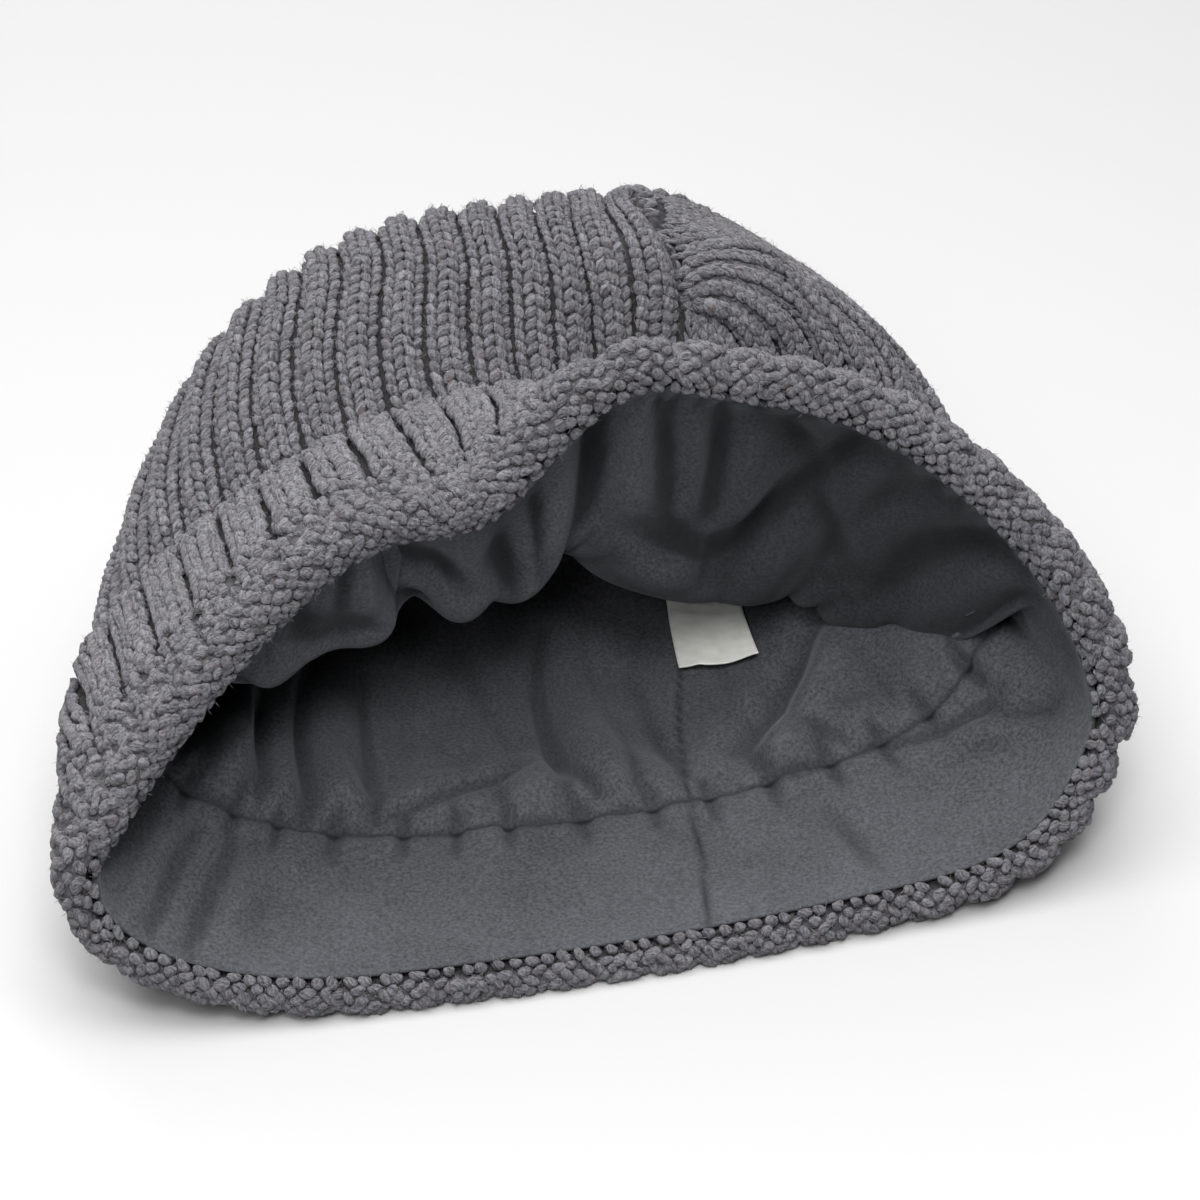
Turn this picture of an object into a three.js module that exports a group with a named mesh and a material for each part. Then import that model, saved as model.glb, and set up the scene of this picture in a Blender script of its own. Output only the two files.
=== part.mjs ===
import * as THREE from "three";

// Lined ribbed knit beanie lying on its lower side, mouth towards -Y. Sizes in mm, +Z up.
// Every layer follows one reference surface. "depth" runs from the rim of the mouth (0) to the
// crown point, "turn" runs once round the cap from the middle of the lower side, by way of +X.

// Ribs
const RIB_COUNT = 48;
const FIRST_MERGE_DEPTH = 170;
const SECOND_MERGE_DEPTH = 193;
const RIB_SHOULDERS = [0.28, 0.72];

// Layers, as distances outwards from the reference surface
const LINING_WALL = 1.4;
const CROWN_INNER = 2.2;
const CROWN_TUCKED_OUTER = 4.5;
const CROWN_GROOVE = 4.3;
const CROWN_CREST = 7.2;
const CROWN_EDGE_CREST = 5.0;
const CROWN_POINT_OUTER = 6.6;
const CUFF_INNER = 5.5;
const CUFF_GROOVE = 7.6;
const CUFF_CREST = 11.0;
const LOFT_MEAN = 0.85;
const LOFT_SWING = 0.15;

// Depths
const CUFF_DEPTH = 49;
const CROWN_RELIEF_START = 53;
const CROWN_RELIEF_FULL = 62;
const CROWN_HEM_DEPTH = 8.8;
const LINING_HEM_DEPTH = 4.4;
const BAND_SEAM_DEPTH = 48.6;
const SEAM_GAP = 1.2;
const POLE_DEPTH = 212;

// Gathers of the lining above its band
const GATHER_HEIGHT = 2.0;
const GATHER_FULL_DEPTH = 70;
const GATHER_END_DEPTH = 179;

// Sewn label: its corner on the lining, its size round and along the cap, and its clearance
const LABEL_TURN = 0.16;
const LABEL_TURN_WIDTH = 0.043;
const LABEL_DEPTH = 100;
const LABEL_LENGTH = 30;
const LABEL_CLEARANCE = 1.9;
const LABEL_THICKNESS = 0.6;
const LABEL_STEPS = 5;

// Places the middle of the outline over the origin
const SHIFT_X = -1.5;
const SHIFT_Y = -76.5;

const QUARTER_STEPS = 120;
const DERIVATIVE_DEPTH = 1.0;
const DERIVATIVE_TURN = 0.004;

// Cross sections. Each is a closed curve through four poles, with a fullness for each pole and a
// twist in turns that slides the ribs round it.
const SECTION_COLUMNS = [
  "depth", "lowX", "lowY", "lowZ", "rightX", "rightY", "rightZ", "topX", "topY", "topZ",
  "leftX", "leftY", "leftZ", "lowFull", "rightFull", "topFull", "leftFull", "twist",
];
const SECTIONS = [
  [0, -42, -4, 8, 101, 48, 30, 26, 65, 100, -98, 0, 36, 1.02, 0.6, 0.8, 0.72, 0],
  [25, -42, 20, 8, 98, 68, 32, 24, 80, 94, -99, 24, 44, 1.02, 0.65, 0.78, 0.76, 0],
  [55, -40, 48, 8, 89, 90, 38, 20, 94, 86, -97, 50, 54, 1.02, 0.7, 0.78, 0.8, -0.005],
  [85, -38, 76, 6, 77, 108, 45, 12, 106, 92, -94, 78, 64, 1.02, 0.75, 0.85, 0.88, -0.02],
  [115, -34, 104, 6, 68, 123, 53, 2, 121, 100, -87, 104, 72, 1, 0.8, 0.92, 0.9, -0.035],
  [145, -26, 132, 12, 55, 138, 61, 0, 135, 102, -71, 124, 79, 0.9, 0.8, 0.92, 0.9, -0.045],
  [170, -16, 149, 32, 40, 149, 71, 6, 146, 100, -48, 138, 84, 0.83, 0.83, 0.83, 0.85, -0.05],
  [190, -6, 156, 56, 26, 155, 83, 8, 154, 98, -22, 150, 88, 0.83, 0.83, 0.83, 0.83, -0.05],
  [205, 4, 159, 82, 14, 158, 92, 9, 157, 97, 2, 157, 93, 0.83, 0.83, 0.83, 0.83, -0.05],
  [212, 8, 159, 96, 8, 159, 96, 8, 159, 96, 8, 159, 96, 0.83, 0.83, 0.83, 0.83, -0.05],
];

// Folds and dents. Each moves the cloth round its centre by the given distances, fading out over
// its spread in turns and its reach in depth.
const FOLD_COLUMNS = ["name", "turn", "spread", "depth", "reach", "dx", "dy", "dz", "inwards"];
const SHELL_FOLDS = [
  ["sag behind the raised rim", 0.51, 0.09, 72, 36, 0, 8, -26, 0],
  ["sag on the right", 0.425, 0.06, 66, 36, -2, 6, -12, 0],
  ["lower right corner", 0.25, 0.05, 0, 45, 6, 0, -2, 0],
  ["crest of the rim", 0.575, 0.03, 0, 18, 0, 1, 6, 0],
  ["dip of the rim", 0.648, 0.035, 0, 25, 2, -2, -9, 0],
];
const LINING_FOLDS = [
  ["slack under the crest", 0.55, 0.08, 60, 28, 0, 0, -16, 14],
  ["slack on the left", 0.67, 0.05, 50, 28, 0, 0, -8, 14],
  ["slack on the right", 0.45, 0.055, 56, 26, 0, 0, -12, 8],
];
const SLACK_START_DEPTH = 5;
const SLACK_EASE_DEPTH = 14;

// Stations along the cap
const TUCKED_DEPTHS = [CROWN_HEM_DEPTH, 22, 36, CUFF_DEPTH];
const CROWN_DEPTHS = [
  CROWN_RELIEF_START, CROWN_RELIEF_FULL, 76, 91, 106, 121, 136, 150, 164, 177, 190, 199, 205,
];
const BAND_DEPTHS = [LINING_HEM_DEPTH, CROWN_HEM_DEPTH, 22, 36, BAND_SEAM_DEPTH];
const LINING_DEPTHS = [BAND_SEAM_DEPTH + SEAM_GAP, 58, 70, 84, 99, 115, 131, 147, 163, 179, 193, 203];

// Cuff cross section past the tucked hem: depth, distance outwards, and whether ribs show
const ROLL_COLUMNS = ["depth", "offset", "relief"];
const ROLL_OUTER = [
  [46, 9.4, 0.6],
  [36, CUFF_CREST, 1],
  [25, CUFF_CREST, 1],
  [12, CUFF_CREST, 1],
  [3, 11.4, 0.8],
  [-3, 10.2, 0.6],
  [-5.5, 5.5, 0.4],
];
const ROLL_INNER = [
  [-4, 0.2, 0],
  [0, -1.8, 0],
  [3.5, -1.4, 0],
  [3.6, 1.8, 0],
  [7.9, 1.9, 0],
  [8, CUFF_INNER, 0],
];

function namedRows(columns, rows) {
  return rows.map((row) => Object.fromEntries(columns.map((name, index) => [name, row[index]])));
}

const sections = namedRows(SECTION_COLUMNS, SECTIONS);
const shellFolds = namedRows(FOLD_COLUMNS, SHELL_FOLDS);
const liningFolds = namedRows(FOLD_COLUMNS, LINING_FOLDS);

function clamp01(value) {
  return Math.min(1, Math.max(0, value));
}

function wrapTurn(turn) {
  return turn - Math.floor(turn);
}

// Smooth curve through one column of the section table.
function sectionValue(name, depth) {
  const last = sections.length - 1;
  let index = 0;
  while (index < last - 1 && depth >= sections[index + 1].depth) index += 1;
  const spanFrom = (i) => sections[i + 1].depth - sections[i].depth;
  const slope = (i) => (sections[i + 1][name] - sections[i][name]) / spanFrom(i);
  const tangent = (i) => {
    if (i === 0) return slope(0);
    if (i === last) return slope(last - 1);
    const before = spanFrom(i - 1);
    const after = spanFrom(i);
    return (slope(i) * before + slope(i - 1) * after) / (before + after);
  };
  const span = spanFrom(index);
  const t = (depth - sections[index].depth) / span;
  const [start, end] = [sections[index][name], sections[index + 1][name]];
  return hermite(start, tangent(index) * span, end, tangent(index + 1) * span, t);
}

function hermite(start, startTangent, end, endTangent, t) {
  const t2 = t * t;
  const t3 = t2 * t;
  return (2 * t3 - 3 * t2 + 1) * start + (t3 - 2 * t2 + t) * startTangent
    + (3 * t2 - 2 * t3) * end + (t3 - t2) * endTangent;
}

// One closed section curve with its running length.
function sectionCurve(depth) {
  const poles = ["low", "right", "top", "left"].map((pole) => ({
    at: new THREE.Vector3(...["X", "Y", "Z"].map((axis) => sectionValue(pole + axis, depth))),
    full: sectionValue(`${pole}Full`, depth),
  }));
  const pole = (index) => poles[(index + 4) % 4];
  const handle = (index, towards) => {
    const onward = pole(index).at.distanceTo(pole(index + towards).at);
    const back = pole(index).at.distanceTo(pole(index - towards).at);
    const share = (2 * onward) / (onward + back + 1e-9);
    return pole(index + 1).at.clone().sub(pole(index - 1).at).multiplyScalar(pole(index).full * share);
  };
  const points = [];
  for (let quarter = 0; quarter < 4; quarter += 1) {
    const start = pole(quarter).at;
    const end = pole(quarter + 1).at;
    const leave = handle(quarter, 1);
    const arrive = handle(quarter + 1, -1);
    for (let step = 0; step < QUARTER_STEPS; step += 1) {
      const t = step / QUARTER_STEPS;
      points.push(new THREE.Vector3(
        hermite(start.x, leave.x, end.x, arrive.x, t),
        hermite(start.y, leave.y, end.y, arrive.y, t),
        hermite(start.z, leave.z, end.z, arrive.z, t),
      ));
    }
  }
  points.push(points[0].clone());
  const lengths = [0];
  for (let index = 1; index < points.length; index += 1) {
    lengths.push(lengths[index - 1] + points[index].distanceTo(points[index - 1]));
  }
  return { points, lengths, twist: sectionValue("twist", depth) };
}

const curveCache = new Map();

function cachedCurve(depth) {
  if (!curveCache.has(depth)) curveCache.set(depth, sectionCurve(depth));
  return curveCache.get(depth);
}

function pointOnCurve(curve, turn) {
  const target = wrapTurn(turn + curve.twist) * curve.lengths[curve.lengths.length - 1];
  let low = 0;
  let high = curve.lengths.length - 1;
  while (high - low > 1) {
    const middle = (low + high) >> 1;
    if (curve.lengths[middle] <= target) low = middle;
    else high = middle;
  }
  const span = curve.lengths[high] - curve.lengths[low];
  const share = span > 0 ? (target - curve.lengths[low]) / span : 0;
  return curve.points[low].clone().lerp(curve.points[high], share);
}

function foldWeight(fold, depth, turn) {
  const aside = wrapTurn(turn - fold.turn + 0.5) - 0.5;
  return Math.exp(-((aside / fold.spread) ** 2) - ((depth - fold.depth) / fold.reach) ** 2);
}

function moveByFolds(point, folds, depth, turn, scale) {
  for (const fold of folds) {
    const weight = foldWeight(fold, depth, turn) * scale;
    point.add(new THREE.Vector3(fold.dx, fold.dy, fold.dz).multiplyScalar(weight));
  }
  return point;
}

function inwardsByFolds(folds, depth, turn, scale) {
  return folds.reduce((sum, fold) => sum + fold.inwards * foldWeight(fold, depth, turn) * scale, 0);
}

// Reference surface of the knit.
function shellPoint(depth, turn) {
  const point = pointOnCurve(cachedCurve(depth), turn);
  return moveByFolds(point, shellFolds, depth, turn, 1);
}

// Reference surface of the lining, which hangs free of the knit in its upper part.
function liningPoint(depth, turn) {
  const eased = SLACK_START_DEPTH + SLACK_EASE_DEPTH;
  const ease = THREE.MathUtils.smoothstep(depth, SLACK_START_DEPTH, eased);
  const inwards = inwardsByFolds(liningFolds, depth, turn, ease);
  const point = offsetPoint(shellPoint, depth, turn, -inwards);
  return moveByFolds(point, liningFolds, depth, turn, ease);
}

// Point off a surface by a distance outwards. Depths below 0 run on past the rim.
function offsetPoint(surface, depth, turn, offset) {
  const base = Math.min(Math.max(depth, 0), POLE_DEPTH - DERIVATIVE_DEPTH);
  const before = Math.max(base - DERIVATIVE_DEPTH, 0);
  const along = surface(base + DERIVATIVE_DEPTH, turn).sub(surface(before, turn)).normalize();
  const round = surface(base, turn + DERIVATIVE_TURN).sub(surface(base, turn - DERIVATIVE_TURN));
  const outwards = along.clone().cross(round).normalize();
  return surface(base, turn).addScaledVector(outwards, offset).addScaledVector(along, Math.min(depth, 0));
}

function onFloor(point) {
  point.z = Math.max(point.z, 0);
  return point;
}

function evenTurns(count) {
  return Array.from({ length: count }, (_, index) => index / count);
}

// Turns of the groove and the two shoulders of each rib.
function ribTurns(ribs) {
  return evenTurns(ribs).flatMap((turn) => [turn, ...RIB_SHOULDERS.map((share) => turn + share / ribs)]);
}

function plainRing(surface, depth, offset, count = RIB_COUNT) {
  const turns = evenTurns(count);
  return { depth, turns, points: turns.map((turn) => onFloor(offsetPoint(surface, depth, turn, offset))) };
}

function ribsAt(depth) {
  if (depth > SECOND_MERGE_DEPTH) return RIB_COUNT / 4;
  return depth > FIRST_MERGE_DEPTH ? RIB_COUNT / 2 : RIB_COUNT;
}

// The cuff is thickest over the raised rim and pressed flat below.
function loft(turn) {
  return LOFT_MEAN - LOFT_SWING * Math.cos(2 * Math.PI * turn);
}

function crownRing(depth) {
  const turns = ribTurns(ribsAt(depth));
  const rise = clamp01((depth - CROWN_RELIEF_START) / (CROWN_RELIEF_FULL - CROWN_RELIEF_START));
  const crest = CROWN_EDGE_CREST + (CROWN_CREST - CROWN_EDGE_CREST) * rise;
  const points = turns.map((turn, index) => {
    const offset = index % 3 === 0 ? CROWN_GROOVE : crest;
    return onFloor(offsetPoint(shellPoint, depth, turn, offset));
  });
  return { depth, turns, points };
}

function cuffOuterRing(row) {
  const turns = ribTurns(RIB_COUNT);
  const points = turns.map((turn, index) => {
    const groove = index % 3 === 0 ? (CUFF_CREST - CUFF_GROOVE) * row.relief : 0;
    const offset = CUFF_INNER + (row.offset - groove - CUFF_INNER) * loft(turn);
    const depth = row.depth < 0 ? row.depth * loft(turn) : row.depth;
    return onFloor(offsetPoint(shellPoint, depth, turn, offset));
  });
  return { depth: row.depth, turns, points };
}

// Inner face of the gathered lining: pinned at each rib and puffed inwards between.
function gatheredRing(depth) {
  const rise = clamp01((depth - BAND_SEAM_DEPTH) / (GATHER_FULL_DEPTH - BAND_SEAM_DEPTH));
  const fall = clamp01((GATHER_END_DEPTH - depth) / (GATHER_END_DEPTH - GATHER_FULL_DEPTH));
  const puff = GATHER_HEIGHT * rise * fall;
  if (puff === 0) return plainRing(liningPoint, depth, 0);
  const turns = evenTurns(RIB_COUNT * 2);
  const points = turns.map((turn, index) => offsetPoint(liningPoint, depth, turn, index % 2 ? -puff : 0));
  return { depth, turns, points };
}

// Joins two rings of any point counts by a strip of triangles, stepping whichever lags. Where both
// are level the shallower ring steps first, so the facets of neighbouring layers lie parallel.
function stitchRings(from, to, fromStart, toStart, triangles) {
  const countFrom = from.turns.length;
  const countTo = to.turns.length;
  let i = 0;
  let j = 0;
  const turnOf = (ring, index, count) => ring.turns[index % count] + Math.floor(index / count);
  while (i < countFrom || j < countTo) {
    const a = fromStart + (i % countFrom);
    const b = toStart + (j % countTo);
    const nextFrom = i < countFrom ? turnOf(from, i + 1, countFrom) : Infinity;
    const nextTo = j < countTo ? turnOf(to, j + 1, countTo) : Infinity;
    const level = Math.abs(nextFrom - nextTo) < 1e-9;
    if (level ? from.depth <= to.depth : nextFrom < nextTo) {
      triangles.push([a, fromStart + ((i + 1) % countFrom), b]);
      i += 1;
    } else {
      triangles.push([a, toStart + ((j + 1) % countTo), b]);
      j += 1;
    }
  }
}

function fanToPoint(apex, start, count, leading, triangles) {
  for (let i = 0; i < count; i += 1) {
    const [a, b] = [start + i, start + ((i + 1) % count)];
    triangles.push(leading ? [apex, b, a] : [a, b, apex]);
  }
}

// Closed solid from a run of rings: it closes on itself, or ends in a point at either end.
function solidFromRings(rings, endPoints) {
  const points = [];
  const starts = rings.map((ring) => {
    const start = points.length;
    points.push(...ring.points);
    return start;
  });
  const triangles = [];
  for (let index = 0; index + 1 < rings.length; index += 1) {
    stitchRings(rings[index], rings[index + 1], starts[index], starts[index + 1], triangles);
  }
  const last = rings.length - 1;
  if (endPoints) {
    const [first, end] = endPoints.map((point) => points.push(point) - 1);
    fanToPoint(first, starts[0], rings[0].turns.length, true, triangles);
    fanToPoint(end, starts[last], rings[last].turns.length, false, triangles);
  } else {
    stitchRings(rings[last], rings[0], starts[last], starts[0], triangles);
  }
  return geometryFacingOut(points, triangles);
}

function geometryFacingOut(points, triangles) {
  let volume = 0;
  for (const [a, b, c] of triangles) volume += points[a].dot(points[b].clone().cross(points[c]));
  const faces = volume < 0 ? triangles.map(([a, b, c]) => [a, c, b]) : triangles;
  const geometry = new THREE.BufferGeometry();
  const coordinates = points.flatMap((point) => [point.x + SHIFT_X, point.y + SHIFT_Y, point.z]);
  geometry.setAttribute("position", new THREE.Float32BufferAttribute(coordinates, 3));
  geometry.setIndex(faces.flat());
  geometry.computeVertexNormals();
  return geometry;
}

function polePoint(surface, offset) {
  return offsetPoint(surface, POLE_DEPTH, 0, offset);
}

function knitCrown() {
  const ribbed = CROWN_DEPTHS.map(crownRing).reverse();
  const tucked = TUCKED_DEPTHS.map((depth) => plainRing(shellPoint, depth, CROWN_TUCKED_OUTER)).reverse();
  const innerDepths = [...TUCKED_DEPTHS, ...LINING_DEPTHS.slice(1)];
  const inner = innerDepths.map((depth) => plainRing(shellPoint, depth, CROWN_INNER));
  const ends = [polePoint(shellPoint, CROWN_POINT_OUTER), polePoint(shellPoint, CROWN_INNER)];
  return solidFromRings([...ribbed, ...tucked, ...inner], ends);
}

function knitCuff() {
  const outer = namedRows(ROLL_COLUMNS, ROLL_OUTER).map(cuffOuterRing);
  const roll = namedRows(ROLL_COLUMNS, ROLL_INNER).map((row) => plainRing(shellPoint, row.depth, row.offset));
  const inner = TUCKED_DEPTHS.slice(1).map((depth) => plainRing(shellPoint, depth, CUFF_INNER));
  return solidFromRings([...outer, ...roll, ...inner]);
}

function liningBand() {
  const inner = BAND_DEPTHS.map((depth) => plainRing(liningPoint, depth, 0));
  const outer = BAND_DEPTHS.map((depth) => plainRing(liningPoint, depth, LINING_WALL)).reverse();
  return solidFromRings([...inner, ...outer]);
}

function liningCrown() {
  const inner = LINING_DEPTHS.map(gatheredRing).reverse();
  const outer = LINING_DEPTHS.map((depth) => plainRing(liningPoint, depth, LINING_WALL));
  const ends = [polePoint(liningPoint, 0), polePoint(liningPoint, LINING_WALL)];
  return solidFromRings([...inner, ...outer], ends);
}

// Small sewn label, a thin curved slab that follows the lining.
function sewnLabel() {
  const side = LABEL_STEPS + 1;
  const points = [];
  for (const offset of [-LABEL_CLEARANCE, -LABEL_CLEARANCE - LABEL_THICKNESS]) {
    for (let row = 0; row < side; row += 1) {
      for (let column = 0; column < side; column += 1) {
        const turn = LABEL_TURN + (LABEL_TURN_WIDTH * column) / LABEL_STEPS;
        const depth = LABEL_DEPTH + (LABEL_LENGTH * row) / LABEL_STEPS;
        points.push(offsetPoint(liningPoint, depth, turn, offset));
      }
    }
  }
  const under = side * side;
  const triangles = [];
  const at = (row, column) => row * side + column;
  for (let row = 0; row < LABEL_STEPS; row += 1) {
    for (let column = 0; column < LABEL_STEPS; column += 1) {
      const [a, b] = [at(row, column), at(row, column + 1)];
      const [d, c] = [at(row + 1, column), at(row + 1, column + 1)];
      triangles.push([a, b, c], [a, c, d]);
      triangles.push([under + a, under + c, under + b], [under + a, under + d, under + c]);
    }
  }
  const border = [];
  for (let i = 0; i < LABEL_STEPS; i += 1) border.push(at(0, i));
  for (let i = 0; i < LABEL_STEPS; i += 1) border.push(at(i, LABEL_STEPS));
  for (let i = LABEL_STEPS; i > 0; i -= 1) border.push(at(LABEL_STEPS, i));
  for (let i = LABEL_STEPS; i > 0; i -= 1) border.push(at(i, 0));
  border.forEach((from, index) => {
    const to = border[(index + 1) % border.length];
    triangles.push([from, under + to, to], [from, under + from, under + to]);
  });
  return geometryFacingOut(points, triangles);
}

function cloth(color, roughness) {
  return new THREE.MeshStandardMaterial({ color, roughness, metalness: 0 });
}

const wool = cloth("#78797e", 0.95);
const fleece = cloth("#54575b", 0.97);
const satin = cloth("#d2d2cc", 0.45);

function namedMesh(name, geometry, material) {
  const mesh = new THREE.Mesh(geometry, material);
  mesh.name = name;
  return mesh;
}

const beanie = new THREE.Group();
beanie.name = "beanie";
beanie.add(
  namedMesh("knit_crown", knitCrown(), wool),
  namedMesh("knit_cuff", knitCuff(), wool),
  namedMesh("lining_band", liningBand(), fleece),
  namedMesh("lining_crown", liningCrown(), fleece),
  namedMesh("sewn_label", sewnLabel(), satin),
);

export default beanie;
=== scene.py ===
"""Lined ribbed knit beanie lying on its lower side, with its mouth towards the viewer."""

import logging
import math
from dataclasses import dataclass
from enum import Enum
from typing import Any, Callable

import bmesh
import bpy
import numpy as np
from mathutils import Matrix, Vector


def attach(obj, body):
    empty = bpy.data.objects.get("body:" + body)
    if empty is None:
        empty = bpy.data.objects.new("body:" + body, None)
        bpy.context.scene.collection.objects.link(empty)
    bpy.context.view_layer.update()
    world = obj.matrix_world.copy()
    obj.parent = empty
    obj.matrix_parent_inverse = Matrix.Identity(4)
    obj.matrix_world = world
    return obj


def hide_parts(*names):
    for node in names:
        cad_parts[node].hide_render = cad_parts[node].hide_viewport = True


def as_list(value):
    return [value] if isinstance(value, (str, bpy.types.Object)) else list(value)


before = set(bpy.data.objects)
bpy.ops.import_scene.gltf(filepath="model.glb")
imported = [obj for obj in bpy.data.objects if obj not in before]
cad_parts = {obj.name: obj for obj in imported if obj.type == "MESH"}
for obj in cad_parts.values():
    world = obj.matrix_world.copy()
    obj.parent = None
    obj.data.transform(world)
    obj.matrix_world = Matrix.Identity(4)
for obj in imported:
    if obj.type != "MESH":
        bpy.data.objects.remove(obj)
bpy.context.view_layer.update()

LOG = logging.getLogger("beanie")

MM = 0.001
# Sizes in mm. A depth is a distance from the rim, along the cap. A turn is a place round it, from 0
# in the middle of the side it lies on, by way of the right, to 1.
RIB_COUNT = 48
CUFF_DEPTH = 49.0
BAND_SEAM_DEPTH = 48.6
FIRST_MERGE_DEPTH = 170.0
SECOND_MERGE_DEPTH = 193.0
LAST_STITCH_DEPTH = 209.0
POLE_DEPTH = 211.0
ROUND_MM = 480.0
SHIFT = (-1.5, -76.5, 0.0)
# Stitches lower than this are pressed flat under the cap, and left out
PRESSED_FLAT = 1.2
# Height that parts the two pieces of the crown's stitches
STITCH_SPLIT = 66.0

Array = np.ndarray
Object = bpy.types.Object
Material = bpy.types.Material
Tree = bpy.types.NodeTree
Place = Callable[[Array, Array, Any], Array]

# Cross sections of the cap, in mm: a closed curve through four poles, their fullness, and a twist
# in turns that slides the ribs round it.
SECTION_COLUMNS = (
    "depth", "lowX", "lowY", "lowZ", "rightX", "rightY", "rightZ", "topX", "topY", "topZ",
    "leftX", "leftY", "leftZ", "lowFull", "rightFull", "topFull", "leftFull", "twist",
)
SECTIONS = np.array([
    (0, -42, -4, 8, 101, 48, 30, 26, 65, 100, -98, 0, 36, 1.02, 0.6, 0.8, 0.72, 0),
    (25, -42, 20, 8, 98, 68, 32, 24, 80, 94, -99, 24, 44, 1.02, 0.65, 0.78, 0.76, 0),
    (55, -40, 48, 8, 89, 90, 38, 20, 94, 86, -97, 50, 54, 1.02, 0.7, 0.78, 0.8, -0.005),
    (85, -38, 76, 6, 77, 108, 45, 12, 106, 92, -94, 78, 64, 1.02, 0.75, 0.85, 0.88, -0.02),
    (115, -34, 104, 6, 68, 123, 53, 2, 121, 100, -87, 104, 72, 1, 0.8, 0.92, 0.9, -0.035),
    (145, -26, 132, 12, 55, 138, 61, 0, 135, 102, -71, 124, 79, 0.9, 0.8, 0.92, 0.9, -0.045),
    (170, -16, 149, 32, 40, 149, 71, 6, 146, 100, -48, 138, 84, 0.83, 0.83, 0.83, 0.85, -0.05),
    (190, -6, 156, 56, 26, 155, 83, 8, 154, 98, -22, 150, 88, 0.83, 0.83, 0.83, 0.83, -0.05),
    (205, 4, 159, 82, 14, 158, 92, 9, 157, 97, 2, 157, 93, 0.83, 0.83, 0.83, 0.83, -0.05),
    (212, 8, 159, 96, 8, 159, 96, 8, 159, 96, 8, 159, 96, 0.83, 0.83, 0.83, 0.83, -0.05),
], dtype=float)


class Held(Enum):
    """How a sheet of cloth is held."""

    LAID = "laid"
    FOLDED = "folded"
    HUNG = "hung"
    GATHERED = "gathered"


class Slot(Enum):
    """Material slots of the record."""

    WOOL = "wool_knit"
    FLEECE = "fleece"
    SATIN = "satin_label"


def turns_from(turn: Any, middle: Any) -> Any:
    """Turns from one place round the cap to another by the short way, from -0.5 to 0.5."""
    return (turn - middle + 0.5) % 1.0 - 0.5


def bell(away: Array, width: float, power: int = 2) -> Array:
    """Soft bump, 1 in its middle and 0.37 at its width. A higher power makes its top flatter."""
    return np.exp(-((away / width) ** power))


def smooth_step(share: Array) -> Array:
    """Share from 0 to 1 with a soft start and end."""
    share = np.clip(share, 0.0, 1.0)
    return share * share * (3 - 2 * share)


def ramp(value: Array, start: float, length: float) -> Array:
    """Share from 0 to 1 of the way along a length."""
    return np.clip((value - start) / length, 0, 1)


def unit(vectors: Array) -> Array:
    """Vectors scaled to length 1."""
    return vectors / np.maximum(np.linalg.norm(vectors, axis=-1, keepdims=True), 1e-12)


def hermite(t: Array, start: Array, end: Array, leave: Array, arrive: Array) -> Array:
    """Points of a cubic curve.

    Args:
        t: Shares of the way along it.
        start: Where it starts.
        end: Where it ends.
        leave: Its tangent at the start.
        arrive: Its tangent at the end.

    Returns:
        One point for each share.
    """
    return (
        (2 * t**3 - 3 * t**2 + 1) * start + (t**3 - 2 * t**2 + t) * leave
        + (3 * t**2 - 2 * t**3) * end + (t**3 - t**2) * arrive
    )


@dataclass(frozen=True)
class Fold:
    """A local move of the cloth round one place, fading out over spread turns and reach mm."""

    turn: float
    spread: float
    depth: float
    reach: float
    move: tuple[float, float, float] = (0, 0, 0)
    inwards: float = 0.0

    def weight(self, depth: Array, turn: Array) -> Array:
        """Strength of the fold, 1 at its centre.

        Args:
            depth: Distances from the rim in mm.
            turn: Places round the cap in turns.

        Returns:
            One weight from 0 to 1 for each point.
        """
        aside = turns_from(turn, self.turn)
        return np.exp(-((aside / self.spread) ** 2) - ((depth - self.depth) / self.reach) ** 2)


@dataclass(frozen=True)
class Crease:
    """A ridge (height above 0, towards the hollow) or valley along a line of the cloth."""

    start: tuple[float, float]
    end: tuple[float, float]
    width: float
    height: float

    def rise(self, depth: Array, turn: Array) -> Array:
        """Height of the crease.

        Args:
            depth: Distances from the rim in mm.
            turn: Places round the cap in turns.

        Returns:
            Height towards the hollow in mm for each point.
        """
        across = turns_from(turn, self.start[0]) * ROUND_MM
        down = depth - self.start[1]
        line = np.array([turns_from(self.end[0], self.start[0]) * ROUND_MM, self.end[1] - self.start[1]])
        length = float(np.hypot(*line)) + 1e-9
        share = (across * line[0] + down * line[1]) / length**2
        near = np.clip(share, 0.0, 1.0)
        away = np.hypot(across - near * line[0], down - near * line[1])
        fade = np.sin(np.pi * np.clip(0.12 + 0.76 * near, 0.0, 1.0))
        return self.height * fade * bell(away, self.width)


# The sag of the whole cap
SHELL_FOLDS = (
    Fold(0.51, 0.09, 72, 36, (0, 8, -26)),
    Fold(0.425, 0.06, 66, 36, (-2, 6, -12)),
    Fold(0.25, 0.05, 0, 45, (6, 0, -2)),
    Fold(0.575, 0.03, 0, 18, (0, 1, 6)),
    Fold(0.648, 0.035, 0, 25, (2, -2, -9)),
)
# The pinched hollow where the first ribs end
CROWN_FOLDS = (
    Fold(0.507, 0.014, 119, 15, inwards=7),
    Fold(0.545, 0.02, 128, 22, inwards=-2.5),
    Fold(0.465, 0.02, 132, 20, inwards=-2.5),
)
# The lining's slack, all round the raised side
LINING_FOLDS = (
    Fold(0.55, 0.08, 60, 28, (0, 0, -16), 14),
    Fold(0.67, 0.05, 50, 28, (0, 0, -8), 14),
    Fold(0.45, 0.055, 56, 26, (0, 0, -12), 8),
)


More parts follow.
